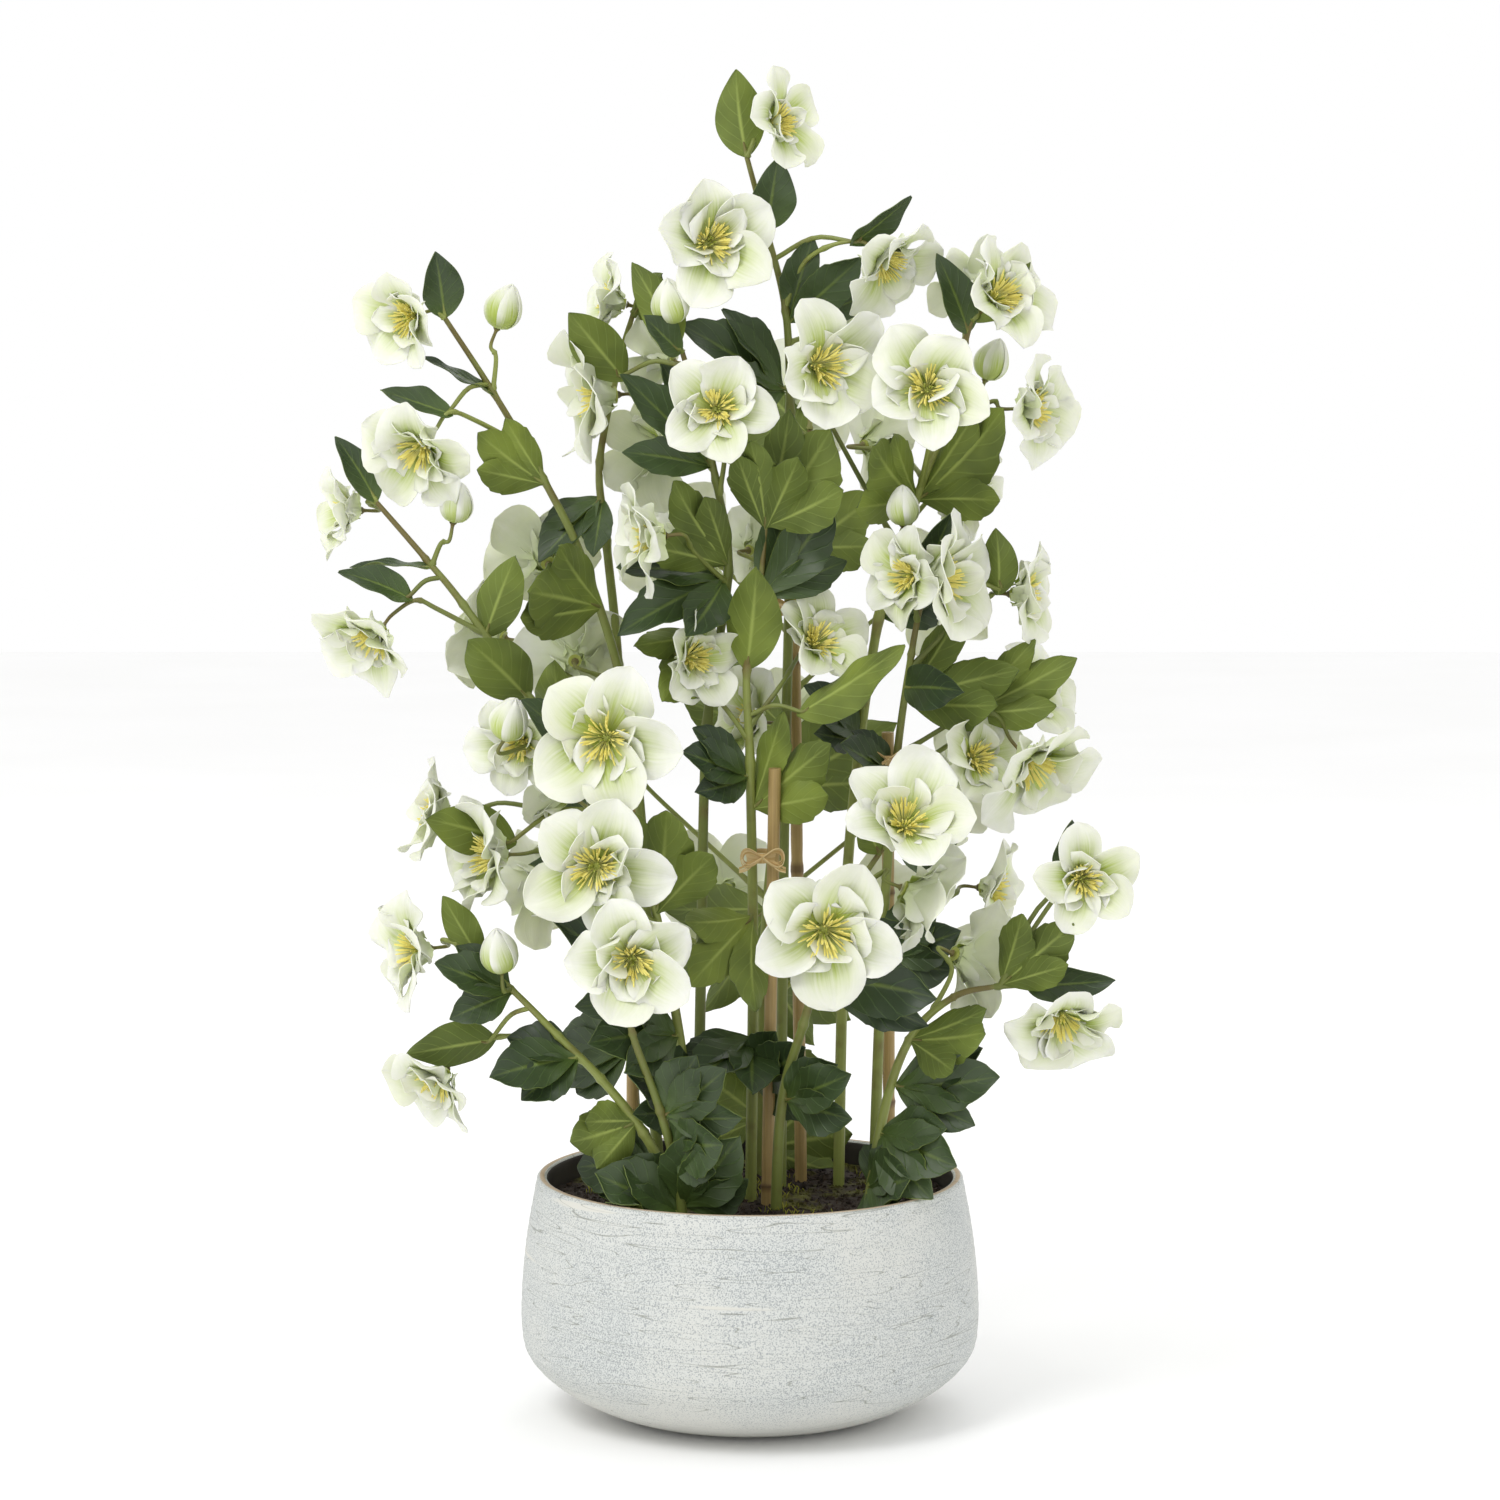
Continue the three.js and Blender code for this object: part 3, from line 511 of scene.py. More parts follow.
# Peat and composted bark: it drinks light, and only the damp crumbs catch any.
def peat(add):
    """Dark brown crumbs, each of its own tone, with grit of about 2 mm between them."""
    place = add("TexCoord", {}, output="Object")
    tone = add("Attribute", {}, attribute_name="tone", output="Fac")
    grit = add("TexNoise", {"Vector": place, "Scale": 480, "Detail": 4.0})
    patch = add("TexNoise", {"Vector": place, "Scale": 38, "Detail": 3.0})
    shade = add("Mix", {0: tone, 6: linear("#261b13"), 7: linear("#4d3a28")}, **TINT)
    shade = add("Mix", {0: add("Math", {0: grit, 1: 0.8}, **TIMES), 6: linear("#1a110b"),
                        7: shade}, **TINT)
    green = add("MapRange", {0: patch, 1: 0.53, 2: 0.66})
    shade = add("Mix", {0: add("Math", {0: green, 1: 0.75}, **TIMES), 6: shade,
                        7: linear("#65661f")}, **TINT)
    bump = add("Bump", {"Height": grit, "Strength": 0.9, "Distance": 0.002})
    return {
        "Base Color": shade,
        "Normal": bump,
        "Roughness": 0.92,
    }


# Living moss: soft and matt, yellower at its tips.
def moss_green(add):
    """Olive at the root of each thread and yellow-green at its tip."""
    strip = add("Attribute", {}, attribute_name="strip", output="Vector")
    along = add("SeparateXYZ", {0: strip}, output="X")
    return {
        "Base Color": add("Mix", {0: along, 6: linear("#4a4f17"), 7: linear("#a3a136")}, **TINT),
        "Roughness": 0.85,
    }


GROUND_FINISHES = [made_of("peat and bark compost", peat), made_of("moss", moss_green)]
soil_piece = place_mesh("compost_and_moss", joined([compost(), crumbs(), moss()]),
                        GROUND_FINISHES, ["soil"], sharp=0.7)
print("compost faces:", len(soil_piece.data.polygons))

# %% [markdown]
# ## Bamboo canes
# Each cane is a real bamboo stem: a straight, hard tube with a raised ring at each joint.
# A plain tube with a painted ring would look sawn from a dowel, so the ring and the slight
# waist on each side of it are in the radius, and the cut top is hollow.

# %% Canes
CANES = {
    "front_cane": ([11, -34, 140], [16, -36, 428], [0.18, 0.62]),
    "rear_cane": ([34, 46, 140], [28, 44, 590], [0.24, 0.52, 0.8]),
    "right_cane": ([92, 22, 140], [90, 16, 446], [0.3, 0.7]),
    "left_cane": ([-78, 20, 140], [-76, 22, 400], [0.22, 0.66]),
}
CANE_RADIUS, CANE_BORE, CANE_DEPTH = 0.004, 0.0018, 0.045


def cane(foot, top, joints, rings=150):
    """The radius is constant but for a sharp raised ring and a wide shallow waist at each
    joint; at the cut top the path turns back down inside to make the bore."""
    t = np.linspace(0, 1, rings)
    away = t[:, None] - np.array(joints)
    radius = CANE_RADIUS * (1 + (0.16 * np.exp(-(away / 0.005) ** 2)
                                 - 0.05 * np.exp(-((away - 0.016) / 0.012) ** 2)).sum(axis=1))
    foot, top = np.array(foot) * MM, np.array(top) * MM
    foot = foot - CANE_DEPTH * unit(top - foot)
    path = foot + (top - foot) * t[:, None]
    down = top + (foot - top) * np.array([[0.0001], [0.02], [0.021]])
    path = np.vstack([path, down])
    radius = np.concatenate([radius, [CANE_BORE, CANE_BORE * 0.95, 0.0002]])
    angle = 2 * np.pi * np.arange(16) / 16
    axis = unit(top - foot)
    side = unit(np.cross(axis, [0.0, 1.0, 0.0]))
    circle = np.cos(angle)[:, None] * side + np.sin(angle)[:, None] * np.cross(axis, side)
    verts = (path[:, None] + radius[:, None, None] * circle).reshape(-1, 3)
    ends = np.stack([foot, down[-1]])
    ring, turn, last = np.arange(16), np.roll(np.arange(16), -1), (len(path) - 1) * 16
    caps = np.concatenate([
        np.stack([turn, ring, np.full(16, len(verts))], axis=1),
        np.stack([ring + last, turn + last, np.full(16, len(verts) + 1)], axis=1),
    ])
    tris = np.concatenate([grid_tris(len(path), 16, wrap=True), caps])
    near = np.exp(-(away / 0.006) ** 2).sum(axis=1)
    along = np.concatenate([np.repeat(np.append(near, [0, 0, 0]), 16), [0, 0]])
    strip = np.column_stack([along, np.zeros_like(along), np.ones_like(along)])
    return surface(np.vstack([verts, ends]), tris, strip)


# Dried bamboo: a hard, waxy skin with fibres along it, darker at each joint.
def bamboo(add):
    """Tan with streaks about 1 mm wide that run up the cane, and brown at its joints."""
    place = add("TexCoord", {}, output="Object")
    strip = add("Attribute", {}, attribute_name="strip", output="Vector")
    joint = add("SeparateXYZ", {0: strip}, output="X")
    drawn = add("Mapping", {"Vector": place, "Scale": (900, 900, 22)})
    fibre = add("TexNoise", {"Vector": drawn, "Scale": 1.0, "Detail": 4.0})
    blotch = add("TexNoise", {"Vector": place, "Scale": 30, "Detail": 3.0})
    shade = add("Mix", {0: fibre, 6: linear("#8f7746"), 7: linear("#cdb074")}, **TINT)
    aged = add("Math", {0: blotch, 1: 0.55}, **TIMES)
    shade = add("Mix", {0: aged, 6: shade, 7: linear("#80683b")}, **TINT)
    bump = add("Bump", {"Height": fibre, "Strength": 0.3, "Distance": 0.0004})
    return {
        "Base Color": add("Mix", {0: joint, 6: shade, 7: linear("#5c442b")}, **TINT),
        "Normal": bump,
        "Roughness": 0.5,
    }


bamboo_skin = made_of("dried bamboo", bamboo)
for name, (foot, top, joints) in CANES.items():
    place_mesh("bamboo_" + name, cane(foot, top, joints), [bamboo_skin], [name])
print("canes:", ", ".join(CANES))

# %% [markdown]
# ## Raffia ties
# Each tie is split palm fibre wound two or three times round a cane and its stem, then tied
# in a flat bow with frayed ends. One thick ring would look moulded, so each turn is a ribbon
# of its own, a little off from the last, and the tails are separate strands.

# %% Ties
TIES = {
    "front_tie": ([8, -29, 370.5], 16),
    "rear_tie": ([27, 36, 526.5], 17),
    "right_tie": ([89, 5, 430.5], 21),
}


def ribbon(path, width, spread):
    """A flat strand: the path, and the same path moved across by its width, as a thin sheet."""
    across = np.linspace(-0.5, 0.5, 3)
    points = path[:, None] + across[None, :, None] * width * spread[:, None]
    u = np.linspace(0, 1, len(path))[:, None] * np.ones((1, 3))
    return sheet(points, u, across[None] * np.ones((len(path), 1)), 0.0005, tone=rng.random())


def tie(centre, half):
    """Wound ribbons on ellipses round cane and stem, then a knot, two loops and four tails."""
    centre, half = np.array(centre) * MM, half * MM
    up = np.array([0.0, 0.0, 1.0])
    parts = []
    turn = np.linspace(0, 2 * np.pi, 40)
    for k in range(5):
        rise = (k - 2) * 0.0011 + 0.0005 * np.sin(turn + 2 * k)
        grown = 1 + 0.015 * k
        loop = np.stack([0.62 * half * grown * np.sin(turn), -half * grown * np.cos(turn), rise],
                        axis=1)
        parts.append(ribbon(centre + loop, 0.0017, np.tile(up, (40, 1))))
    knot = centre + np.array([0, -half - 0.0012, 0])
    t = np.linspace(0, 1, 16)
    for side in (-1, 1):
        for k in range(3):
            bulge = 0.0035 + 0.0012 * k
            loop = np.stack([
                side * 0.0125 * np.sin(np.pi * t) * (1 + 0.06 * k),
                -0.001 * k - 0.002 * np.sin(np.pi * t),
                bulge * np.sin(2 * np.pi * t) + 0.001,
            ], axis=1)
            lean = unit(np.array([0.2 * side, -0.7, 0.7]))
            parts.append(ribbon(knot + loop, 0.0016, np.tile(lean, (16, 1))))
            tail = np.stack([side * (0.003 + 0.012 * t), -0.001 - 0.003 * t,
                             -0.0015 - (0.003 + 0.0022 * k) * t + 0.001 * np.sin(5 * t + k)], axis=1)
            parts.append(ribbon(knot + tail, 0.0013 * (1 - 0.15 * k), np.tile(up, (16, 1))))
    wrap = np.linspace(0, 2 * np.pi, 18)
    for k in range(3):
        shift = np.full(18, (k - 1) * 0.0011)
        band = np.stack([shift, -0.0014 * np.cos(wrap), 0.0026 * np.sin(wrap)], axis=1)
        parts.append(ribbon(knot + band, 0.0016, np.tile([1.0, 0, 0.2 * (k - 1)], (18, 1))))
    return joined(parts)


# Raffia: dry leaf fibre, pale straw, with fine splits along each strand.
def raffia(add):
    """Straw colour, each strand of its own tone, with fibres across it less than 1 mm apart."""
    strip = add("Attribute", {}, attribute_name="strip", output="Vector")
    tone = add("Attribute", {}, attribute_name="tone", output="Fac")
    drawn = add("Mapping", {"Vector": strip, "Scale": (5, 9, 1)})
    fibre = add("TexNoise", {"Vector": drawn, "Scale": 1.0, "Detail": 3.0})
    shade = add("Mix", {0: tone, 6: linear("#c6a468"), 7: linear("#eedaa8")}, **TINT)
    bump = add("Bump", {"Height": fibre, "Strength": 0.4, "Distance": 0.0003})
    split = add("Math", {0: fibre, 1: 0.6}, **TIMES)
    return {
        "Base Color": add("Mix", {0: split, 6: shade, 7: linear("#a5844f")}, **TINT),
        "Normal": bump,
        "Roughness": 0.8,
    }


raffia_fibre = made_of("dry raffia", raffia)
for name, (centre, half) in TIES.items():
    place_mesh("raffia_" + name, tie(centre, half), [raffia_fibre], [name])
print("ties:", ", ".join(TIES))

# %% [markdown]
# ## The plan of the sprays
# The routes of the stems and the places of the heads and leaves are the plant's own habit,
# so they are the same millimetres that the solids were made from.
# A bloom or a bud is a centre, a turn from the front towards +X, a lift, a width and the start
# of its stalk. A leaf is its kind, base, tip, width and roll: at roll 0 it shows its upper face
# to the front, and near 180 its pale underside. The inner blooms are small crowded heads.

# %% The fourteen sprays
SPRAYS = [
  {
    "name": "top_spray",
    "stem": [[20, 25, 110], [22, 28, 350], [26, 28, 560], [26, 20, 655], [23, 8, 720],
      [11, -6, 770], [-2, -16, 818]],
    "blooms": [
      [[26, -24, 842], 50, 12, 66, [[-2, -16, 818], [2, -16, 828]]],
      [[-20, -48, 766], 20, 8, 84, [[11, -6, 770], [8, -8, 780]]],
      [[94, -36, 744], 50, -35, 78, [[23, 8, 722], [34, -4, 750], [52, -14, 762]]],
    ],
    "inner_blooms": [
      [[60, 34, 706], 120, 10, 66, [[24, 12, 700], [38, 20, 704]]],
    ],
    "buds": [],
    "leaves": [
      ["bract", [-2, -16, 818], [-14, -24, 872], 32, 175],
      ["bract", [11, -8, 772], [16, -26, 818], 30, 20],
      ["bract", [64, -16, 762], [102, -30, 792], 20, 60],
      ["lobed", [24, 12, 712], [74, -22, 756], 40, 30],
      ["lobed", [24, 16, 668], [-34, -36, 704], 56, 20],
    ],
  },
  {
    "name": "upper_left_spray",
    "stem": [[-35, 15, 110], [-32, 16, 300], [-28, 14, 450], [-14, 2, 552], [-22, -14, 612],
      [-34, -28, 664], [-43, -36, 694]],
    "blooms": [
      [[-112, -8, 664], -75, -5, 94, [[-26, -18, 622], [-56, -20, 662], [-76, -14, 672]]],
      [[-20, -66, 660], 5, 5, 74, [[-20, -12, 602], [-16, -26, 634]]],
      [[-76, -50, 578], -75, 0, 78, [[-16, 2, 545], [-36, -18, 566]]],
    ],
    "inner_blooms": [
      [[-70, 52, 628], -145, -10, 74, [[-24, -16, 618], [-40, 14, 640]]],
      [[-66, 48, 690], -120, 10, 66, [[-34, -26, 660], [-42, 6, 680]]],
    ],
    "buds": [
      [[-50, -44, 722], -20, 70, 30, [[-43, -36, 694]]],
    ],
    "leaves": [
      ["bract", [-80, -16, 676], [-116, -40, 720], 32, 170],
      ["bract", [-46, -38, 698], [-72, -30, 752], 28, 160],
      ["bract", [-44, -38, 694], [-68, -60, 716], 22, 10],
      ["lobed", [-24, -16, 620], [-78, -58, 676], 46, 15],
      ["lobed", [-14, 0, 556], [-62, -46, 606], 44, 170],
      ["lobed", [-16, 4, 548], [-78, -60, 528], 54, 10],
      ["lobed", [-24, 10, 510], [-66, -50, 478], 44, 165],
    ],
  },
  {
    "name": "mid_left_spray",
    "stem": [[-72, 40, 110], [-82, 44, 300], [-86, 42, 475], [-94, 34, 570], [-98, 30, 622],
      [-84, 30, 690], [-76, 30, 718]],
    "blooms": [
      [[-99, 26, 728], -78, 12, 66, [[-76, 30, 718], [-73, 30, 726]]],
      [[-140, 68, 564], -160, 25, 82, [[-88, 42, 490], [-104, 50, 530]]],
    ],
    "inner_blooms": [
      [[-118, 40, 498], -170, 15, 76, [[-86, 42, 450], [-92, 24, 478]]],
    ],
    "buds": [],
    "leaves": [
      ["bract", [-76, 30, 716], [-56, -6, 748], 26, 160],
      ["lobed", [-96, 34, 600], [-130, 0, 560], 40, 20],
      ["lobed", [-86, 42, 460], [-140, 80, 440], 56, 20],
      ["lobed", [-84, 44, 380], [-140, 60, 400], 60, 20],
      ["lobed", [-80, 44, 230], [-136, 70, 210], 60, 10],
    ],
  },
  {
    "name": "left_spray",
    "stem": [[-60, 12, 110], [-66, 12, 300], [-78, 12, 450], [-106, 10, 552], [-134, 8, 612],
      [-166, 4, 668], [-196, -10, 716]],
    "blooms": [
      [[-226, -34, 714], -45, -12, 72, [[-196, -10, 716], [-202, -14, 720]]],
      [[-216, -56, 626], -30, -32, 80, [[-144, 8, 632], [-176, -12, 650], [-192, -26, 656]]],
    ],
    "inner_blooms": [
      [[-182, 44, 512], -110, 15, 80, [[-80, 12, 462], [-130, 30, 488]]],
    ],
    "buds": [
      [[-160, 6, 718], 80, 70, 30, [[-166, 4, 668], [-164, 6, 690]]],
    ],
    "leaves": [
      ["bract", [-196, -10, 716], [-200, -22, 758], 28, 20],
      ["bract", [-164, 4, 666], [-212, -14, 690], 14, 50],
      ["bract", [-190, -24, 654], [-236, -34, 668], 22, 30],
      ["lobed", [-132, 8, 608], [-182, -16, 640], 44, 175],
      ["lobed", [-96, 10, 528], [-152, -36, 552], 60, 170],
    ],
  },
  {
    "name": "left_low_spray",
    "stem": [[-54, -16, 110], [-72, -20, 280], [-100, -26, 400], [-140, -30, 470],
      [-184, -30, 533], [-208, -26, 562], [-240, -18, 598]],
    "blooms": [
      [[-268, -12, 592], -70, 0, 62, [[-240, -18, 598], [-246, -16, 598]]],
      [[-246, -58, 506], -40, -38, 76, [[-170, -30, 512], [-200, -32, 530], [-214, -34, 536]]],
      [[-178, -62, 374], -65, 0, 84, [[-94, -26, 382], [-130, -36, 376]]],
      [[-150, -76, 444], -20, -15, 64, [[-106, -26, 412], [-128, -44, 440]]],
    ],
    "inner_blooms": [
      [[-214, -16, 398], -80, 15, 70, [[-98, -26, 392], [-160, -22, 404]]],
    ],
    "buds": [
      [[-188, -34, 594], 60, 75, 26, [[-204, -27, 558], [-198, -30, 572]]],
      [[-152, -98, 462], 30, 60, 30, [[-110, -27, 424], [-130, -60, 446]]],
    ],
    "leaves": [
      ["bract", [-240, -18, 598], [-262, -22, 642], 22, 20],
      ["bract", [-216, -34, 536], [-260, -44, 560], 24, 30],
      ["bract", [-204, -26, 556], [-256, -30, 562], 14, 60],
      ["bract", [-170, -30, 512], [-152, -48, 568], 30, 170],
      ["bract", [-142, -30, 472], [-176, -72, 516], 38, 165],
      ["bract", [-122, -28, 440], [-124, -74, 500], 34, 165],
      ["bract", [-150, -40, 380], [-206, -76, 404], 34, 165],
      ["lobed", [-86, -24, 350], [-140, -80, 350], 50, 10],
    ],
  },
  {
    "name": "centre_spray",
    "stem": [[0, -18, 110], [2, -20, 300], [0, -22, 430], [-2, -22, 490], [6, -20, 540],
      [10, -18, 584]],
    "blooms": [
      [[50, -14, 512], 35, 25, 72, [[0, -22, 452], [20, -16, 480]]],
      [[-30, -34, 498], 40, 0, 66, [[0, -22, 444], [-20, -20, 470]]],
    ],
    "inner_blooms": [
      [[-8, 26, 456], -60, 15, 68, [[2, -20, 412], [14, 10, 436]]],
      [[8, 40, 566], 150, 5, 62, [[6, -20, 540], [8, 0, 556]]],
    ],
    "buds": [],
    "leaves": [
      ["lobed", [10, -18, 580], [8, -52, 648], 44, 172],
      ["lobed", [10, -18, 582], [62, -44, 646], 60, 172],
      ["bract", [-2, -22, 490], [6, -48, 560], 36, 172],
      ["lobed", [6, -20, 536], [58, -10, 590], 50, 20],
      ["bract", [30, -30, 462], [100, -62, 508], 36, 150],
      ["lobed", [2, -22, 400], [52, -52, 456], 50, 165],
      ["lobed", [0, -22, 420], [-44, -56, 440], 44, 15],
      ["lobed", [2, -22, 330], [-40, -84, 296], 48, 165],
      ["lobed", [2, -20, 250], [-30, -80, 232], 56, 15],
      ["lobed", [1, -20, 220], [42, -70, 250], 52, 15],
    ],
  },
  {
    "name": "right_upper_spray",
    "stem": [[58, 30, 110], [64, 32, 350], [84, 22, 520], [108, 4, 600], [128, -6, 654],
      [138, -12, 700], [142, -14, 714]],
    "blooms": [
      [[112, -76, 674], 0, 8, 82, [[110, 2, 606], [116, -30, 646]]],
      [[168, -26, 734], 45, 20, 80, [[142, -14, 714], [146, -14, 718]]],
      [[190, -34, 658], 60, 0, 74, [[124, -4, 642], [154, -14, 662]]],
      [[54, -72, 686], 35, 0, 88, [[96, 12, 566], [56, -12, 640]]],
    ],
    "inner_blooms": [
      [[146, 34, 592], 60, -20, 72, [[100, 10, 580], [118, 24, 600]]],
      [[88, 52, 634], 130, 5, 62, [[112, 2, 612], [96, 26, 628]]],
      [[138, 18, 744], -130, 30, 60, [[138, -12, 700], [140, 2, 716]]],
    ],
    "buds": [
      [[156, 24, 684], 90, 70, 28, [[130, -6, 656], [148, 16, 662]]],
    ],
    "leaves": [
      ["bract", [140, -13, 706], [122, -36, 756], 26, 20],
      ["bract", [142, -14, 714], [182, -6, 748], 24, 160],
      ["lobed", [108, 4, 598], [170, -30, 644], 54, 172],
      ["lobed", [108, 4, 598], [70, -44, 628], 50, 172],
      ["lobed", [84, 22, 520], [126, 40, 556], 54, 20],
      ["lobed", [74, 28, 440], [40, -6, 470], 44, 20],
    ],
  },
  {
    "name": "right_mid_spray",
    "stem": [[80, -2, 110], [86, -4, 300], [94, -8, 420], [104, -18, 500], [112, -26, 544]],
    "blooms": [
      [[134, -60, 550], 60, 2, 90, [[112, -26, 544], [110, -40, 550]]],
      [[188, -12, 538], 70, 0, 72, [[102, -16, 490], [140, -16, 528], [156, -16, 538]]],
      [[188, -54, 422], 45, -40, 90, [[96, -10, 434], [140, -30, 462], [158, -36, 462]]],
      [[152, -40, 436], 35, 10, 66, [[92, -8, 400], [130, -20, 420]]],
    ],
    "inner_blooms": [
      [[92, -50, 552], -50, 0, 66, [[108, -22, 522], [106, -32, 540]]],
      [[194, 34, 476], 60, 30, 70, [[94, -8, 416], [150, 10, 452]]],
      [[170, 22, 342], 70, 0, 70, [[88, -5, 320], [130, 8, 338]]],
    ],
    "buds": [
      [[98, -28, 592], -10, 80, 26, [[112, -26, 544], [102, -26, 566]]],
    ],
    "leaves": [
      ["bract", [160, -16, 538], [162, -24, 582], 24, 170],
      ["bract", [112, -30, 546], [124, -48, 594], 28, 20],
      ["bract", [100, -16, 478], [136, -66, 486], 30, 20],
      ["lobed", [100, -14, 470], [176, -44, 506], 50, 172],
      ["lobed", [140, -26, 462], [210, -36, 500], 46, 172],
      ["lobed", [94, -8, 420], [60, -50, 440], 40, 20],
      ["lobed", [92, -8, 380], [136, -60, 396], 50, 20],
      ["lobed", [88, -4, 300], [136, -36, 322], 56, 15],
    ],
  },
  {
    "name": "front_right_spray",
    "stem": [[16, -48, 110], [20, -58, 210], [34, -76, 268], [46, -88, 310], [62, -94, 350],
      [84, -96, 384]],
    "blooms": [
      [[100, -128, 412], 10, 35, 88, [[84, -96, 384], [92, -98, 390]]],
      [[48, -146, 334], 5, -4, 94, [[42, -84, 298], [48, -98, 322]]],
      [[118, -92, 348], 95, -25, 84, [[66, -94, 356], [86, -84, 368]]],
    ],
    "inner_blooms": [],
    "buds": [],
    "leaves": [
      ["bract", [82, -96, 380], [72, -124, 402], 20, 170],
      ["lobed", [44, -86, 300], [120, -130, 308], 58, 15],
      ["lobed", [22, -60, 216], [62, -110, 236], 50, 15],
    ],
  },
  {
    "name": "right_low_spray",
    "stem": [[72, -60, 110], [84, -62, 200], [102, -64, 256], [130, -66, 284], [160, -68, 292]],
    "blooms": [
      [[214, -92, 362], 12, 0, 70, [[160, -68, 292], [178, -68, 324], [200, -66, 356]]],
      [[200, -86, 262], 10, -42, 78, [[156, -68, 290], [180, -70, 292]]],
      [[150, -26, 300], 120, -20, 80, [[118, -65, 272], [130, -44, 298]]],
    ],
    "inner_blooms": [],
    "buds": [],
    "leaves": [
      ["bract", [200, -68, 354], [204, -64, 398], 22, 20],
      ["bract", [176, -70, 292], [232, -88, 298], 24, 30],
      ["lobed", [160, -68, 292], [202, -90, 334], 44, 172],
      ["lobed", [102, -64, 256], [156, -106, 262], 46, 172],
      ["lobed", [92, -63, 226], [160, -100, 226], 56, 15],
      ["lobed", [82, -62, 196], [130, -110, 180], 56, 15],
      ["lobed", [74, -60, 160], [104, -98, 164], 64, 15],
    ],
  },
  {
    "name": "left_front_spray",
    "stem": [[-32, -34, 110], [-42, -46, 230], [-56, -66, 320], [-70, -84, 380], [-84, -96, 430]],
    "blooms": [
      [[-92, -140, 456], -5, 0, 96, [[-84, -96, 430], [-90, -100, 446]]],
      [[-98, -144, 376], -5, 0, 90, [[-58, -70, 330], [-84, -96, 358]]],
    ],
    "inner_blooms": [
      [[-128, -36, 420], -120, 30, 66, [[-66, -78, 362], [-96, -60, 396]]],
    ],
    "buds": [],
    "leaves": [
      ["lobed", [-60, -72, 338], [-46, -110, 420], 58, 172],
      ["lobed", [-50, -58, 286], [-130, -130, 330], 58, 15],
      ["lobed", [-84, -96, 430], [-140, -128, 470], 44, 15],
      ["lobed", [-46, -52, 256], [-96, -112, 276], 56, 15],
      ["lobed", [-40, -44, 210], [-74, -100, 244], 54, 15],
    ],
  },
  {
    "name": "front_low_spray",
    "stem": [[-42, -78, 110], [-45, -84, 165], [-57, -96, 216], [-74, -112, 268], [-76, -122, 296]],
    "blooms": [
      [[-73, -174, 320], 0, -8, 84, [[-76, -122, 296], [-75, -132, 312]]],
    ],
    "inner_blooms": [],
    "buds": [],
    "leaves": [
      ["lobed", [-56, -94, 212], [-10, -126, 240], 52, 15],
      ["lobed", [-50, -88, 190], [-20, -122, 204], 52, 15],
      ["lobed", [-44, -80, 150], [-8, -116, 196], 54, 20],
      ["lobed", [-44, -80, 146], [-96, -112, 172], 60, 10],
    ],
  },
  {
    "name": "lower_left_spray",
    "stem": [[-50, -68, 110], [-54, -70, 163], [-68, -76, 198], [-95, -82, 234], [-122, -84, 262],
      [-152, -82, 292], [-186, -74, 320]],
    "blooms": [
      [[-226, -66, 312], -65, -5, 80, [[-186, -74, 320], [-196, -72, 322]]],
      [[-206, -82, 224], -48, -42, 74, [[-104, -84, 244], [-136, -80, 260], [-166, -70, 258]]],
    ],
    "inner_blooms": [],
    "buds": [
      [[-158, -98, 314], -20, 75, 30, [[-152, -82, 292]]],
    ],
    "leaves": [
      ["lobed", [-150, -82, 290], [-200, -104, 306], 44, 15],
      ["bract", [-172, -74, 310], [-196, -88, 352], 22, 165],
      ["lobed", [-108, -84, 248], [-164, -106, 248], 50, 15],
      ["bract", [-162, -72, 258], [-218, -88, 250], 30, 150],
      ["lobed", [-72, -78, 206], [-110, -96, 190], 46, 160],
      ["lobed", [-60, -72, 176], [-112, -60, 176], 58, 10],
    ],
  },
  {
    "name": "back_spray",
    "stem": [[6, 66, 110], [10, 84, 300], [24, 100, 440], [36, 108, 560], [40, 104, 640]],
    "blooms": [
      [[44, 140, 664], 170, 5, 86, [[40, 104, 640], [40, 108, 652]]],
      [[-46, 156, 560], -160, 5, 90, [[30, 104, 500], [-10, 118, 540]]],
    ],
    "inner_blooms": [
      [[30, 176, 430], 170, -5, 92, [[14, 90, 350], [24, 124, 410]]],
      [[128, 132, 530], 140, 10, 88, [[26, 101, 460], [80, 110, 510]]],
      [[-110, 140, 420], -145, 0, 84, [[12, 87, 325], [-60, 110, 390]]],
      [[140, 110, 400], 130, 0, 84, [[12, 86, 320], [80, 96, 376]]],
      [[-150, 112, 330], -125, -10, 80, [[10, 82, 280], [-90, 100, 320]]],
      [[-20, 168, 320], -170, -10, 86, [[9, 80, 260], [-10, 116, 306]]],
      [[96, 146, 306], 150, -10, 82, [[9, 80, 250], [56, 110, 292]]],
    ],
    "buds": [
      [[-20, 130, 640], -150, 70, 28, [[36, 108, 560], [2, 122, 606]]],
    ],
    "leaves": [
      ["lobed", [40, 104, 636], [-10, 130, 660], 50, 195],
      ["lobed", [36, 108, 560], [84, 150, 590], 54, 195],
      ["lobed", [24, 100, 440], [-50, 150, 470], 60, 195],
      ["lobed", [20, 96, 400], [90, 150, 440], 60, 195],
      ["lobed", [12, 86, 320], [-60, 150, 250], 60, 195],
      ["lobed", [10, 82, 280], [70, 140, 240], 60, 195],
      ["lobed", [8, 74, 220], [10, 140, 190], 60, 195],
      ["lobed", [7, 70, 180], [-60, 100, 180], 60, 195],
      ["lobed", [7, 68, 160], [70, 92, 170], 60, 195],
    ],
  },
]
print("sprays:", len(SPRAYS), "leaves:", sum(len(spray["leaves"]) for spray in SPRAYS))

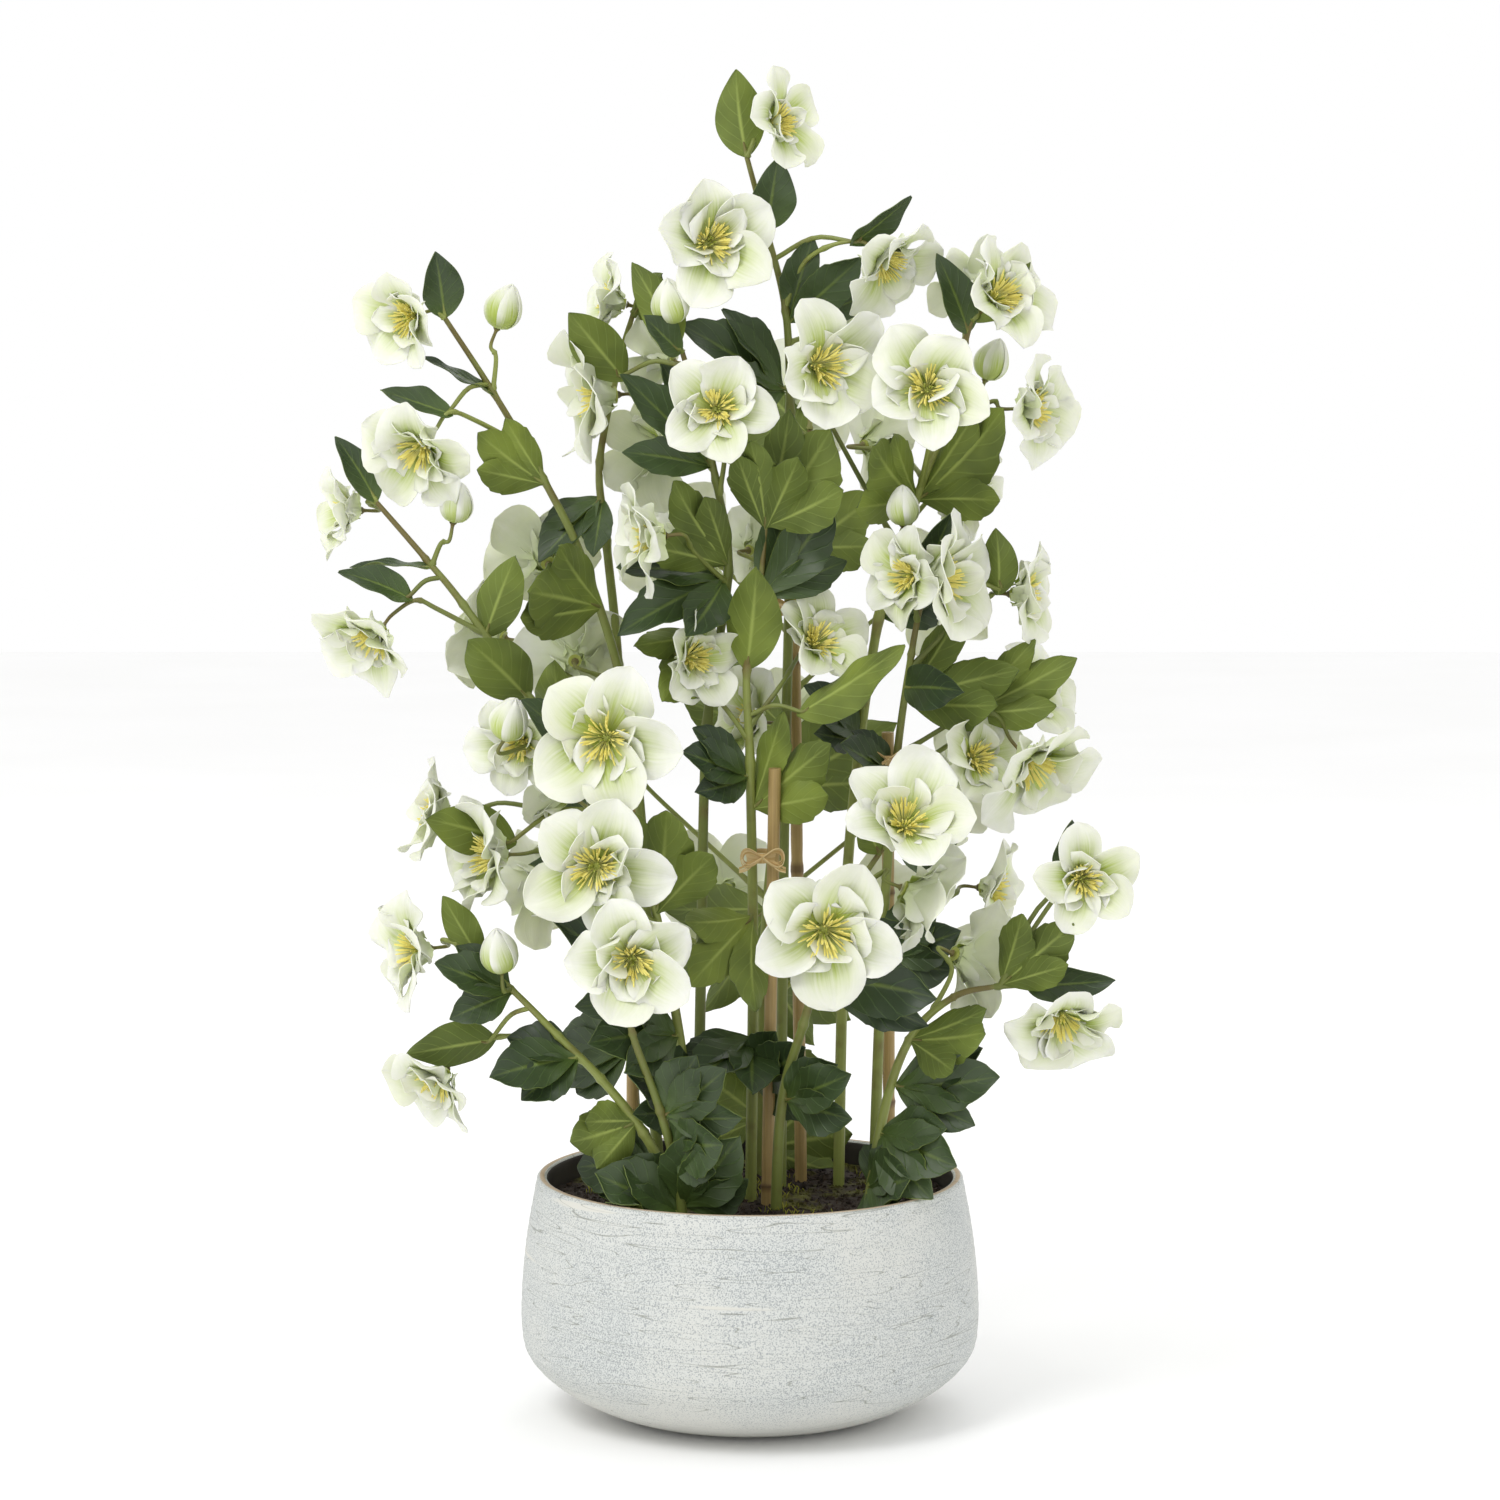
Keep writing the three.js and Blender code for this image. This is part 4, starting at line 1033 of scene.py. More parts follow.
# %% [markdown]
# ## Stems and stalks
# A hellebore's stem is round and smooth, thick where it leaves the ground, with a slight
# collar wherever a leaf or a stalk comes off. Curves with a bevel could make them, but a tube
# worked out here can swell at its collars and thin towards each flower.

# %% Stem routes
STEM_RADIUS, STALK_RADIUS, PETIOLE_RADIUS = 0.0036, 0.0016, 0.0013
FLOWER_DEPTH = 0.3
STALK_LEAD = 12 * MM


def facing(turn, lift):
    """The direction that a head looks in, from its two angles in degrees."""
    turn, lift = np.radians([turn, lift])
    return np.array([np.cos(lift) * np.sin(turn), -np.cos(lift) * np.cos(turn), np.sin(lift)])


def stem_line(spray):
    """The middle line of a spray's main stem."""
    return smooth_path(np.array(spray["stem"]) * MM, 121)


def nearest(line, place):
    """The point of the line, above the compost, that is nearest to a place."""
    above = line[line[:, 2] > SOIL_TOP]
    return above[np.argmin(np.linalg.norm(above - place, axis=1))]


def stalk_line(line, row, depth, count=26):
    """From the stem through the given points to the back of the head, along its axis."""
    centre, turn, lift, size, middle = row
    look = facing(turn, lift)
    back = np.array(centre) * MM - look * size * MM * depth
    points = np.array(middle) * MM
    points[0] = nearest(line, points[0])
    return smooth_path(np.vstack([points, back - look * STALK_LEAD, back]), count)


def collars(t, places, width, height):
    """How much thicker a rod is: a smooth swelling round each place along it."""
    return 1 + height * np.exp(-(((t[:, None] - np.array(places)) / width) ** 2)).sum(axis=1)


# %% Building the stems
def spray_stems(spray):
    """The main stem with a collar at each of its points, a stalk with a collar at its foot and
    a swollen end for each head, and a petiole for each leaf that bends into its blade."""
    line = stem_line(spray)
    t = np.linspace(0, 1, len(line))
    marks = np.linspace(0, 1, len(spray["stem"]))[2:-1]
    radius = STEM_RADIUS * (1.08 - 0.62 * t) * collars(t, marks, 0.008, 0.28)
    parts = [tubes(line[None], radius, 12, tone=rng.random())]
    rows = [(row, FLOWER_DEPTH) for row in spray["blooms"] + spray["inner_blooms"]]
    rows += [(row, 1 / 3) for row in spray["buds"]]
    for row, depth in rows:
        path = stalk_line(line, row, depth)
        s = np.linspace(0, 1, len(path))
        radius = STALK_RADIUS * (1.12 - 0.45 * s) * collars(s, [0.03, 0.45], 0.03, 0.5)
        radius = radius + 0.0016 * np.clip((s - 0.93) / 0.07, 0, 1) ** 2
        parts.append(tubes(path[None], radius, 8, tone=rng.random()))
    for _, base, tip, _, _ in spray["leaves"]:
        base, tip = np.array(base) * MM, np.array(tip) * MM
        ahead = unit(tip - base)
        root = nearest(line, base)
        end = base + 0.004 * ahead
        bow = (root + end) / 2 + 0.15 * np.linalg.norm(end - root) * np.array([0, 0, 1.0])
        path = smooth_path(np.vstack([root, bow, end, end + 0.006 * ahead]), 14)
        s = np.linspace(0, 1, 14)
        parts.append(tubes(path[None], PETIOLE_RADIUS * (1.3 - 0.9 * s**3), 7, tone=rng.random()))
    return joined(parts)


# Hellebore stems are fleshy and smooth, with a thin waxy bloom that takes a soft shine.
def stem_skin(add):
    """Olive green, yellower on some stalks, streaked along its length and dotted with brown,
    which deepens towards the thin upper end of each stem."""
    place = add("TexCoord", {}, output="Object")
    strip = add("Attribute", {}, attribute_name="strip", output="Vector")
    tone = add("Attribute", {}, attribute_name="tone", output="Fac")
    along = add("SeparateXYZ", {0: strip}, output="X")
    drawn = add("Mapping", {"Vector": strip, "Scale": (5, 14, 1)})
    streak = add("TexNoise", {"Vector": drawn, "Scale": 1.0, "Detail": 3.0})
    blotch = add("TexNoise", {"Vector": place, "Scale": 55, "Detail": 3.0})
    shade = add("Mix", {0: tone, 6: linear("#6c7634"), 7: linear("#98a152")}, **TINT)
    shade = add("Mix", {0: add("MapRange", {0: streak, 4: 0.5}), 6: shade, 7: linear("#555f27")},
                **TINT)
    old = add("MapRange", {0: along, 1: 0.45, 2: 1.0, 3: 0.0, 4: 0.30})
    brown = add("MapRange",
                {0: add("Math", {0: blotch, 1: old}, **PLUS), 1: 0.54, 2: 0.80, 4: 0.75})
    return {
        "Base Color": add("Mix", {0: brown, 6: shade, 7: linear("#67532c")}, **TINT),
        "Roughness": 0.5,
        "Normal": add("Bump", {"Height": streak, "Strength": 0.25, "Distance": 0.0004}),
    }


stem_finish = made_of("green hellebore stem", stem_skin)
for spray in SPRAYS:
    place_mesh(spray["name"] + "_stems", spray_stems(spray), [stem_finish],
               [spray["name"]])
print("stems laid for", len(SPRAYS), "sprays")

# %% [markdown]
# ## Leaves
# The plant has two kinds. Plain oval bracts sit behind the flowers. The stem leaves are cut
# nearly to the base into three or five toothed lobes, which spread like fingers.
# Both are leathery: folded up along the midrib, arched, waved at the margin and toothed.
# A flat outline with a bump would show as card from the side, so all of that is in the mesh.

# %% Blades
LIGHT = unit(np.array([0.0, -1.0, 0.35]))
LEAF_THICKNESS = 0.0006


def blade(base, ahead, side, top, length, half, widest, teeth, droop, rows, cols, seed, tone,
          v=None):
    """One lobe. Its half width is a sine of distance along, skewed to be widest where asked
    and toothed towards the tip. Its height is a fold up from the midrib, an arch down to the
    tip, a wave that grows towards the margin, and a ridge for each side vein."""
    draw = np.random.default_rng(seed)
    u = np.linspace(0, 1, rows)[:, None]
    v = np.linspace(-1, 1, cols)[None, :]
    skew = np.log(0.5) / np.log(widest)
    body = np.sin(np.pi * np.clip(u, 0.0, 1.0) ** skew) ** 0.82
    tooth = 1 + teeth * np.clip(3 * u - 1.1, 0, 1) * (2 * ((u * 5.5) % 1) - 1) * np.abs(v) ** 3
    width = half * np.maximum(body, 0.05 * (1 - u) + 0.012) * tooth
    phase, sweep = draw.uniform(0, 2 * np.pi, 2)
    bend = length * draw.uniform(-0.10, 0.10) * u**2
    vein = np.cos(2 * np.pi * (6.5 * u - 2.0 * np.abs(v)))
    height = (
        0.34 * width * np.abs(v) ** 1.3
        - droop * length * u**1.8
        + 0.06 * length * u
        + 0.030 * length * np.sin(2.3 * np.pi * u + phase) * v**2 * np.sin(np.pi * u)
        + 0.016 * length * np.sin(5.1 * np.pi * u + sweep) * v * np.abs(v)
        + 0.00028 * vein * np.sin(np.pi * u) * (1 - np.abs(v))
    )
    points = (
        base
        + ahead * np.broadcast_to(length * u, width.shape)[..., None]
        + side * (width * v + bend)[..., None]
        + top * height[..., None]
    )
    along, across = np.broadcast_to(u, width.shape), np.broadcast_to(v, width.shape)
    return sheet(clear_of_bowl(points), along, across, LEAF_THICKNESS, tone)


def clear_of_bowl(points):
    """Lifts points so that none is under a surface that rises from just over the compost to
    just over the lip, which lets a leaf lie over the lip as a real one would."""
    radius = np.linalg.norm(points[..., :2], axis=-1)
    slope = np.clip((radius - 0.118) / 0.012, 0, 1)
    least = SOIL_TOP + 0.005 + (POT_HEIGHT + 0.0015 - SOIL_TOP - 0.005) * slope
    lifted = points.copy()
    lifted[..., 2] = np.where(radius < 0.16, np.maximum(points[..., 2], least), points[..., 2])
    return lifted


def leaf(row, seed):
    """A bract is one blade. A lobed leaf is a long middle lobe and pairs of shorter ones turned
    away from it about their shared base, each pair a hair lower than the last."""
    kind, base, tip, width, roll = row
    draw = np.random.default_rng(seed)
    base, tip = np.array(base) * MM, np.array(tip) * MM
    length = np.linalg.norm(tip - base)
    ahead = unit(tip - base)
    side = unit(np.cross(ahead, LIGHT))
    top = np.cross(side, ahead)
    c, s = np.cos(np.radians(roll)), np.sin(np.radians(roll))
    side, top = side * c + np.cross(ahead, side) * s, top * c + np.cross(ahead, top) * s
    width, tone = width * MM, draw.random()
    if kind == "bract":
        droop = draw.uniform(0.04, 0.16)
        return [blade(base, ahead, side, top, length, 0.5 * width, 0.42, 0.0, droop, 24, 11, seed,
                      tone)]
    spread = draw.uniform(0.62, 1.0)
    fan = [(0, 1.0, 0.60), (31, 0.84, 0.50), (-31, 0.80, 0.50)]
    if width > 0.062:
        fan += [(60, 0.58, 0.38), (-60, 0.62, 0.38)]
    lobes = []
    for k, (angle, reach, fat) in enumerate(fan):
        a = np.radians(spread * angle + draw.uniform(-5, 5))
        out = ahead * np.cos(a) + side * np.sin(a)
        wide = side * np.cos(a) - ahead * np.sin(a)
        start = base + out * 0.002 - top * 0.0004 * k
        lobes.append(blade(start, out, wide, top, length * reach * draw.uniform(0.86, 1.04),
                           fat * draw.uniform(0.50, 0.64) * width, 0.55, 0.07,
                           draw.uniform(0.02, 0.24), 28, 9, seed + 7 * k,
                           np.clip(tone + draw.uniform(-0.3, 0.3), 0, 1)))
    return lobes


# A leathery leaf: a dark waxy upper skin with a soft grey shine, and a pale matt underside on
# which the veins stand up. The side value of the strip tells the two faces apart.
def leaf_skin(add):
    """Upper face dark green with yellow-green midrib and mottling; under face lime, paler
    ribbed."""
    place = add("TexCoord", {}, output="Object")
    strip = add("Attribute", {}, attribute_name="strip", output="Vector")
    tone = add("Attribute", {}, attribute_name="tone", output="Fac")
    along = add("SeparateXYZ", {0: strip}, output="X")
    across = add("Math", {0: add("SeparateXYZ", {0: strip}, output="Y")}, operation="ABSOLUTE")
    upper = add("SeparateXYZ", {0: strip}, output="Z")
    mottle = add("TexNoise", {"Vector": place, "Scale": 90, "Detail": 4.0})
    cloud = add("TexNoise", {"Vector": place, "Scale": 26, "Detail": 2.0})
    wander = add("Math", {0: add("Math", {0: mottle, 1: 0.5}, **MINUS), 1: 0.35}, **TIMES)
    ahead, aside = add("Math", {0: along, 1: 6.5}, **TIMES), add("Math", {0: across, 1: 2.0},
                                                                 **TIMES)
    slant = add("Math", {0: ahead, 1: aside}, **MINUS)
    comb = add("Math", {0: add("Math", {0: slant, 1: wander}, **PLUS), 1: 0.5},
               operation="PINGPONG")
    twig = add("MapRange", {0: comb, 1: 0.0, 2: 0.085, 3: 1.0, 4: 0.0})
    rib = add("MapRange", {0: across, 1: 0.02, 2: 0.10, 3: 1.0, 4: 0.0})
    fade = add("Math", {0: 1.05, 1: along}, **MINUS)
    rib = add("Math", {0: rib, 1: add("MapRange", {0: fade, 1: 0.0, 2: 0.6})}, **TIMES)
    dark = add("Mix", {0: tone, 6: linear("#2c3c22"), 7: linear("#42542c")}, **TINT)
    dark = add("Mix", {0: add("Math", {0: mottle, 1: 0.55}, **TIMES), 6: dark,
                       7: linear("#1c2c18")}, **TINT)
    heart = add("Math", {0: add("Math", {0: fade, 1: 3.0}, operation="POWER"), 1: 0.45}, **TIMES)
    dark = add("Mix", {0: heart, 6: dark, 7: linear("#5c7527")}, **TINT)
    dark = add("Mix", {0: add("Math", {0: twig, 1: 0.35}, **TIMES), 6: dark, 7: linear("#546d35")},
               **TINT)
    dark = add("Mix", {0: add("Math", {0: rib, 1: 0.55}, **TIMES), 6: dark, 7: linear("#7c8f3d")},
               **TINT)
    lime = add("Mix", {0: tone, 6: linear("#62722a"), 7: linear("#7d8c34")}, **TINT)
    shaded = add("MapRange", {0: cloud, 1: 0.35, 2: 0.65, 4: 0.75})
    lime = add("Mix", {0: shaded, 6: lime, 7: linear("#4c5a20")}, **TINT)
    lime = add("Mix", {0: add("Math", {0: twig, 1: 0.30}, **TIMES), 6: lime, 7: linear("#8fa04a")},
               **TINT)
    lime = add("Mix", {0: add("Math", {0: rib, 1: 0.7}, **TIMES), 6: lime, 7: linear("#a0ae58")},
               **TINT)
    gloss = add("MapRange", {0: upper, 3: 0.62, 4: 0.40})
    gloss = add("Math", {0: gloss, 1: add("Math", {0: mottle, 1: 0.1}, **TIMES)}, **PLUS)
    raised = add("Math", {0: twig, 1: rib}, **PLUS)
    relief = add("Math", {0: raised, 1: add("Math", {0: mottle, 1: 0.7}, **TIMES)}, **PLUS)
    bump = add("Bump", {"Height": relief, "Strength": 0.35, "Distance": 0.0005})
    return {
        "Base Color": add("Mix", {0: upper, 6: lime, 7: dark}, **TINT),
        "Roughness": gloss,
        "Normal": bump,
        "Subsurface Weight": 0.06,
        "Subsurface Radius": (0.001, 0.002, 0.0005),
    }


leaf_finish = made_of("leathery hellebore leaf", leaf_skin)
for number, spray in enumerate(SPRAYS):
    lobes = [lobe for k, row in enumerate(spray["leaves"])
             for lobe in leaf(row, 1000 * number + 31 * k)]
    place_mesh(spray["name"] + "_leaves", joined(lobes), [leaf_finish], [spray["name"]],
               0.75)
print("leaves made for", len(SPRAYS), "sprays")

# %% [markdown]
# ## Petals
# A double hellebore has five broad outer petals round a ring of smaller cupped ones.
# Each petal is thin, soft and never flat. It rises steeply from the heart and opens outwards,
# its margin ruffles, and each one lies over one neighbour and under the other.
# Copies of one petal would look stamped, so every petal draws its own size, rise and ruffle.

# %% One petal
PETAL_THICKNESS = 0.0005
# Points along and across an outer petal and an inner one: there are hundreds of them.
PETAL_GRIDS = [(15, 11), (11, 9)]
PETALS, INNER_PETALS = 5, 6
STAMENS, STYLES = 64, 7


def petal(angle, length, width, rise, fall, cup, twist, ruffle, start, draw, finish=0):
    """A petal about the flower's own +Z axis. Its midline is the running sum of steps whose
    slope goes from the rise to the fall. Its half width is a skewed sine with a small point at
    the tip. Across it, the surface is cupped, twisted, grooved along the middle, ruffled at
    the margin and finely pleated in a fan."""
    rows, cols = PETAL_GRIDS[finish]
    u = np.linspace(0, 1, rows)[:, None]
    v = np.linspace(-1, 1, cols)[None, :]
    slope = np.radians(rise * (1 - u) ** 1.15 + fall * (1 - (1 - u) ** 1.15))
    step = length / (rows - 1)
    out = start + np.cumsum(np.cos(slope), axis=0) * step
    up = np.cumsum(np.sin(slope), axis=0) * step
    skewed = 1 + draw.uniform(-0.14, 0.14) * v
    half = 0.5 * width * skewed * np.maximum(np.sin(np.pi * u**1.3) ** 0.66, 0.20 * (1 - u) + 0.03)
    phase, beat = draw.uniform(0, 2 * np.pi), draw.uniform(2.0, 3.2)
    lift = (
        cup * half * (1 - 0.6 * u) * v**2
        + twist * half * v
        + ruffle * half * np.abs(v) ** 3 * np.sin(beat * np.pi * u + phase + 1.9 * np.sign(v))
        - 0.05 * width * np.exp(-((v / 0.16) ** 2)) * np.sin(np.pi * u) ** 0.7
        + 0.00022 * np.cos(9 * np.pi * v) * np.sin(np.pi * u)
    )
    bend = draw.uniform(-0.07, 0.07) * length * u**2
    r = out - lift * np.sin(slope)
    z = up + lift * np.cos(slope)
    x, y = r, half * v * (1 - 0.25 * cup * np.abs(v)) + bend
    points = np.stack([
        x * np.cos(angle) + y * np.sin(angle),
        x * np.sin(angle) - y * np.cos(angle),
        z + np.zeros_like(x),
    ], axis=-1)
    along, across = np.broadcast_to(u, x.shape), np.broadcast_to(v, x.shape)
    return sheet(points, along, across, PETAL_THICKNESS, draw.random(), finish)


# %% The heart of a flower
def bristles(count, reach, spread, thick, lift, draw, finish):
    """Stamens: rods that leave the heart at a slant, curve back up and end in a blunt anther."""
    turn = draw.uniform(0, 2 * np.pi, count)
    lean = np.radians(spread * np.sqrt(draw.uniform(0.05, 1, count)))
    length = reach * draw.uniform(0.75, 1.1, count)
    out = np.stack([np.cos(turn), np.sin(turn), np.zeros(count)], axis=1)
    t = np.linspace(0, 1, 5)[None, :, None]
    rise = np.cos(lean)[:, None, None] * t + 0.10 * np.sin(2 * t)
    paths = out[:, None] * (np.sin(lean)[:, None, None] * t**1.2 + 0.12) * length[:, None, None]
    paths = paths + np.array([0, 0, 1.0]) * (rise * length[:, None, None] + lift)
    radii = thick * np.array([0.55, 0.5, 0.5, 1.5, 0.9])
    return tubes(paths, radii, 3, draw.random(), finish)


def dome(radius, height, level, finish, rings=5, turns=10):
    """A shallow rounded boss: a quarter circle turned round the axis and closed below."""
    arc = np.linspace(0.15, np.pi / 2, rings)
    profile = np.stack([radius * np.sin(arc), level + height * np.cos(arc)], axis=1)
    path = np.zeros((rings, 3))
    path[:, 2] = profile[:, 1]
    return tubes(path[None], profile[:, 0], turns, 0.5, finish)


def flower(width, seed, open_wide=1.0):
    """A whole flower about +Z with its stalk end below: five outer petals in a whorl, six
    inner ones, about sixty stamens, a tuft of short styles and a green boss."""
    draw = np.random.default_rng(seed)
    size = width * MM
    depth = FLOWER_DEPTH * size
    parts = []
    for k in range(PETALS):
        angle = 2 * np.pi * k / PETALS + draw.uniform(-0.08, 0.08)
        parts.append(petal(angle, size * draw.uniform(0.52, 0.59), size * draw.uniform(0.44, 0.56),
                           draw.uniform(54, 66) / open_wide, draw.uniform(-16, 18) / open_wide,
                           draw.uniform(0.15, 0.5), 0.14, draw.uniform(0.18, 0.40),
                           0.02 * size, draw))
    for k in range(INNER_PETALS):
        angle = 2 * np.pi * (k + 0.5) / INNER_PETALS + draw.uniform(-0.35, 0.35)
        parts.append(petal(angle, size * draw.uniform(0.24, 0.38), size * draw.uniform(0.24, 0.36),
                           draw.uniform(70, 84), draw.uniform(14, 52), draw.uniform(-0.5, 0.9),
                           draw.uniform(-0.6, 0.6), draw.uniform(0.25,
                                                                 0.55), 0.085 * size, draw, 1))
    parts.append(bristles(STAMENS, 0.225 * size, 44, 0.00050, 0.03 * size, draw, 2))
    parts.append(bristles(STYLES, 0.12 * size, 14, 0.0006, 0.03 * size, draw, 3))
    parts.append(dome(0.06 * size, 0.04 * size, 0.01 * size, 3))
    whole = joined(parts)
    whole["verts"] = whole["verts"] - np.array([0, 0, depth - 0.0006])
    return whole


def aimed(whole, centre, turn, lift, spin):
    """Turns a flower made about +Z to look its own way, and moves it to its centre."""
    look = facing(turn, lift)
    side = unit(np.cross(look, [0.02, 0.1, 1.0]))
    up = np.cross(side, look)
    c, s = np.cos(spin), np.sin(spin)
    basis = np.stack([side * c + up * s, up * c - side * s, look])
    whole = dict(whole)
    whole["verts"] = whole["verts"] @ basis + np.array(centre) * MM
    return whole

# %% [markdown]
# ## Petal finishes
# A petal is a thin wet skin with air below it, so it glows where light comes through.
# Its white is never plain. The heart is washed with green, fine veins fan out from the claw,
# the margin is cream, and the backs of the outer petals keep a green stain.

# %% Petal and heart colours
def petal_skin(add, wash=0.95):
    """White at the margin, with a lime wash along the middle that deepens to green at the
    claw, and fine veins that fan along it. The back is greener at its base."""
    place = add("TexCoord", {}, output="Object")
    strip = add("Attribute", {}, attribute_name="strip", output="Vector")
    tone = add("Attribute", {}, attribute_name="tone", output="Fac")
    along = add("SeparateXYZ", {0: strip}, output="X")
    across = add("Math", {0: add("SeparateXYZ", {0: strip}, output="Y")}, operation="ABSOLUTE")
    upper = add("SeparateXYZ", {0: strip}, output="Z")
    mottle = add("TexNoise", {"Vector": place, "Scale": 130, "Detail": 4.0})
    drawn = add("Mapping", {"Vector": strip, "Scale": (1.3, 11, 1)})
    fan = add("TexNoise", {"Vector": drawn, "Scale": 1.0, "Detail": 4.0, "Distortion": 0.5})
    middle = add("MapRange", {0: across, 1: 0.20, 2: 1.0, 3: 1.0, 4: 0.0},
                 interpolation_type="SMOOTHSTEP")
    length = add("MapRange", {0: along, 1: 0.30, 2: 0.98, 3: 1.0, 4: 0.0},
                 interpolation_type="SMOOTHSTEP")
    depth = add("MapRange", {0: tone, 3: 0.75 * wash, 4: wash})
    lime = add("Math", {0: add("Math", {0: middle, 1: length}, **TIMES), 1: depth}, **TIMES)
    lime = add("Math", {0: lime, 1: add("MapRange", {0: fan, 1: 0.3, 2: 0.7, 3: 0.55, 4: 1.35})},
               **TIMES)
    claw = add("MapRange", {0: along, 1: 0.06, 2: 0.34, 3: 0.85, 4: 0.0})
    white = add("Mix", {0: tone, 6: linear("#e9eae0"), 7: linear("#e2e4d2")}, **TINT)
    cloudy = add("MapRange", {0: mottle, 1: 0.42, 2: 0.75, 4: 0.35})
    white = add("Mix", {0: cloudy, 6: white, 7: linear("#d5dac2")}, **TINT)
    front = add("Mix", {0: lime, 6: white, 7: linear("#aabc50")}, **TINT)
    front = add("Mix", {0: claw, 6: front, 7: linear("#9fb046")}, **TINT)
    base = add("MapRange", {0: along, 1: 0.05, 2: 0.75, 3: 0.75, 4: 0.08})
    back = add("Mix", {0: base, 6: white, 7: linear("#bccb86")}, **TINT)
    relief = add("Math", {0: fan, 1: add("Math", {0: mottle, 1: 0.5}, **TIMES)}, **PLUS)
    return {
        "Base Color": add("Mix", {0: upper, 6: back, 7: front}, **TINT),
        "Roughness": 0.5,
        "Subsurface Weight": 0.25,
        "Subsurface Radius": (0.0020, 0.0022, 0.0012),
        "Subsurface Scale": 1.0,
        "Sheen Weight": 0.05,
        "Normal": add("Bump", {"Height": relief, "Strength": 0.4, "Distance": 0.0005}),
    }


def inner_skin(add):
    """The small inner petals: as the outer ones, but green for most of their length."""
    return petal_skin(add, wash=1.0)


# Stamens are soft threads with dusty anthers: pale green below and butter yellow above.
def stamen_dust(add):
    """Greenish white threads that turn to yellow anthers, grainy with pollen of about 0.3 mm."""
    place = add("TexCoord", {}, output="Object")
    strip = add("Attribute", {}, attribute_name="strip", output="Vector")
    along = add("SeparateXYZ", {0: strip}, output="X")
    grain = add("TexNoise", {"Vector": place, "Scale": 1500, "Detail": 2.0})
    tip = add("MapRange", {0: along, 1: 0.35, 2: 0.72})
    yellow = add("Mix", {0: grain, 6: linear("#e2d45c"), 7: linear("#faf2a0")}, **TINT)
    return {
        "Base Color": add("Mix", {0: tip, 6: linear("#efeca6"), 7: yellow}, **TINT),
        "Roughness": 0.7,
        "Normal": add("Bump", {"Height": grain, "Strength": 0.4, "Distance": 0.0003}),
    }


# The boss and its styles are firm young seed vessels: smooth and bright green.
def seed_green(add):
    """Yellow-green, softly mottled over a few millimetres."""
    place = add("TexCoord", {}, output="Object")
    cloud = add("TexNoise", {"Vector": place, "Scale": 260, "Detail": 2.0})
    return {
        "Base Color": add("Mix", {0: cloud, 6: linear("#a2b13f"), 7: linear("#cfd27a")}, **TINT),
        "Roughness": 0.5,
        "Normal": add("Bump", {"Height": cloud, "Strength": 0.3, "Distance": 0.0003}),
    }


BLOOM_FINISHES = [
    made_of("white hellebore petal", petal_skin),
    made_of("inner hellebore petal", inner_skin),
    made_of("pollen-dusted stamens", stamen_dust),
    made_of("green seed vessel", seed_green),
]
print("flower finishes:", ", ".join(finish.name for finish in BLOOM_FINISHES))

# %% [markdown]
# ## Placing the flowers
# Each of the thirty-seven open flowers stands for one solid of its own. Each spray's small
# crowded heads and buds go into one piece with it, because they are never taken apart.

# %% Open flowers
for number, spray in enumerate(SPRAYS):
    for k, (centre, turn, lift, width, _) in enumerate(spray["blooms"], 1):
        seed = 100 * number + k
        whole = aimed(flower(width, seed), centre, turn, lift, 1.3 * seed)
        name = f"{spray['name']}_flower_{k}"
        place_mesh("bloom_" + name, whole, BLOOM_FINISHES, [name], 1.2)
print("open flowers:", sum(len(spray["blooms"]) for spray in SPRAYS))

# %% [markdown]
# ## Buds
# A bud is the same petals before they part: five sheets that wrap one another in a spiral
# round an egg. Laying each a little further out than the last leaves the overlaps to be seen.

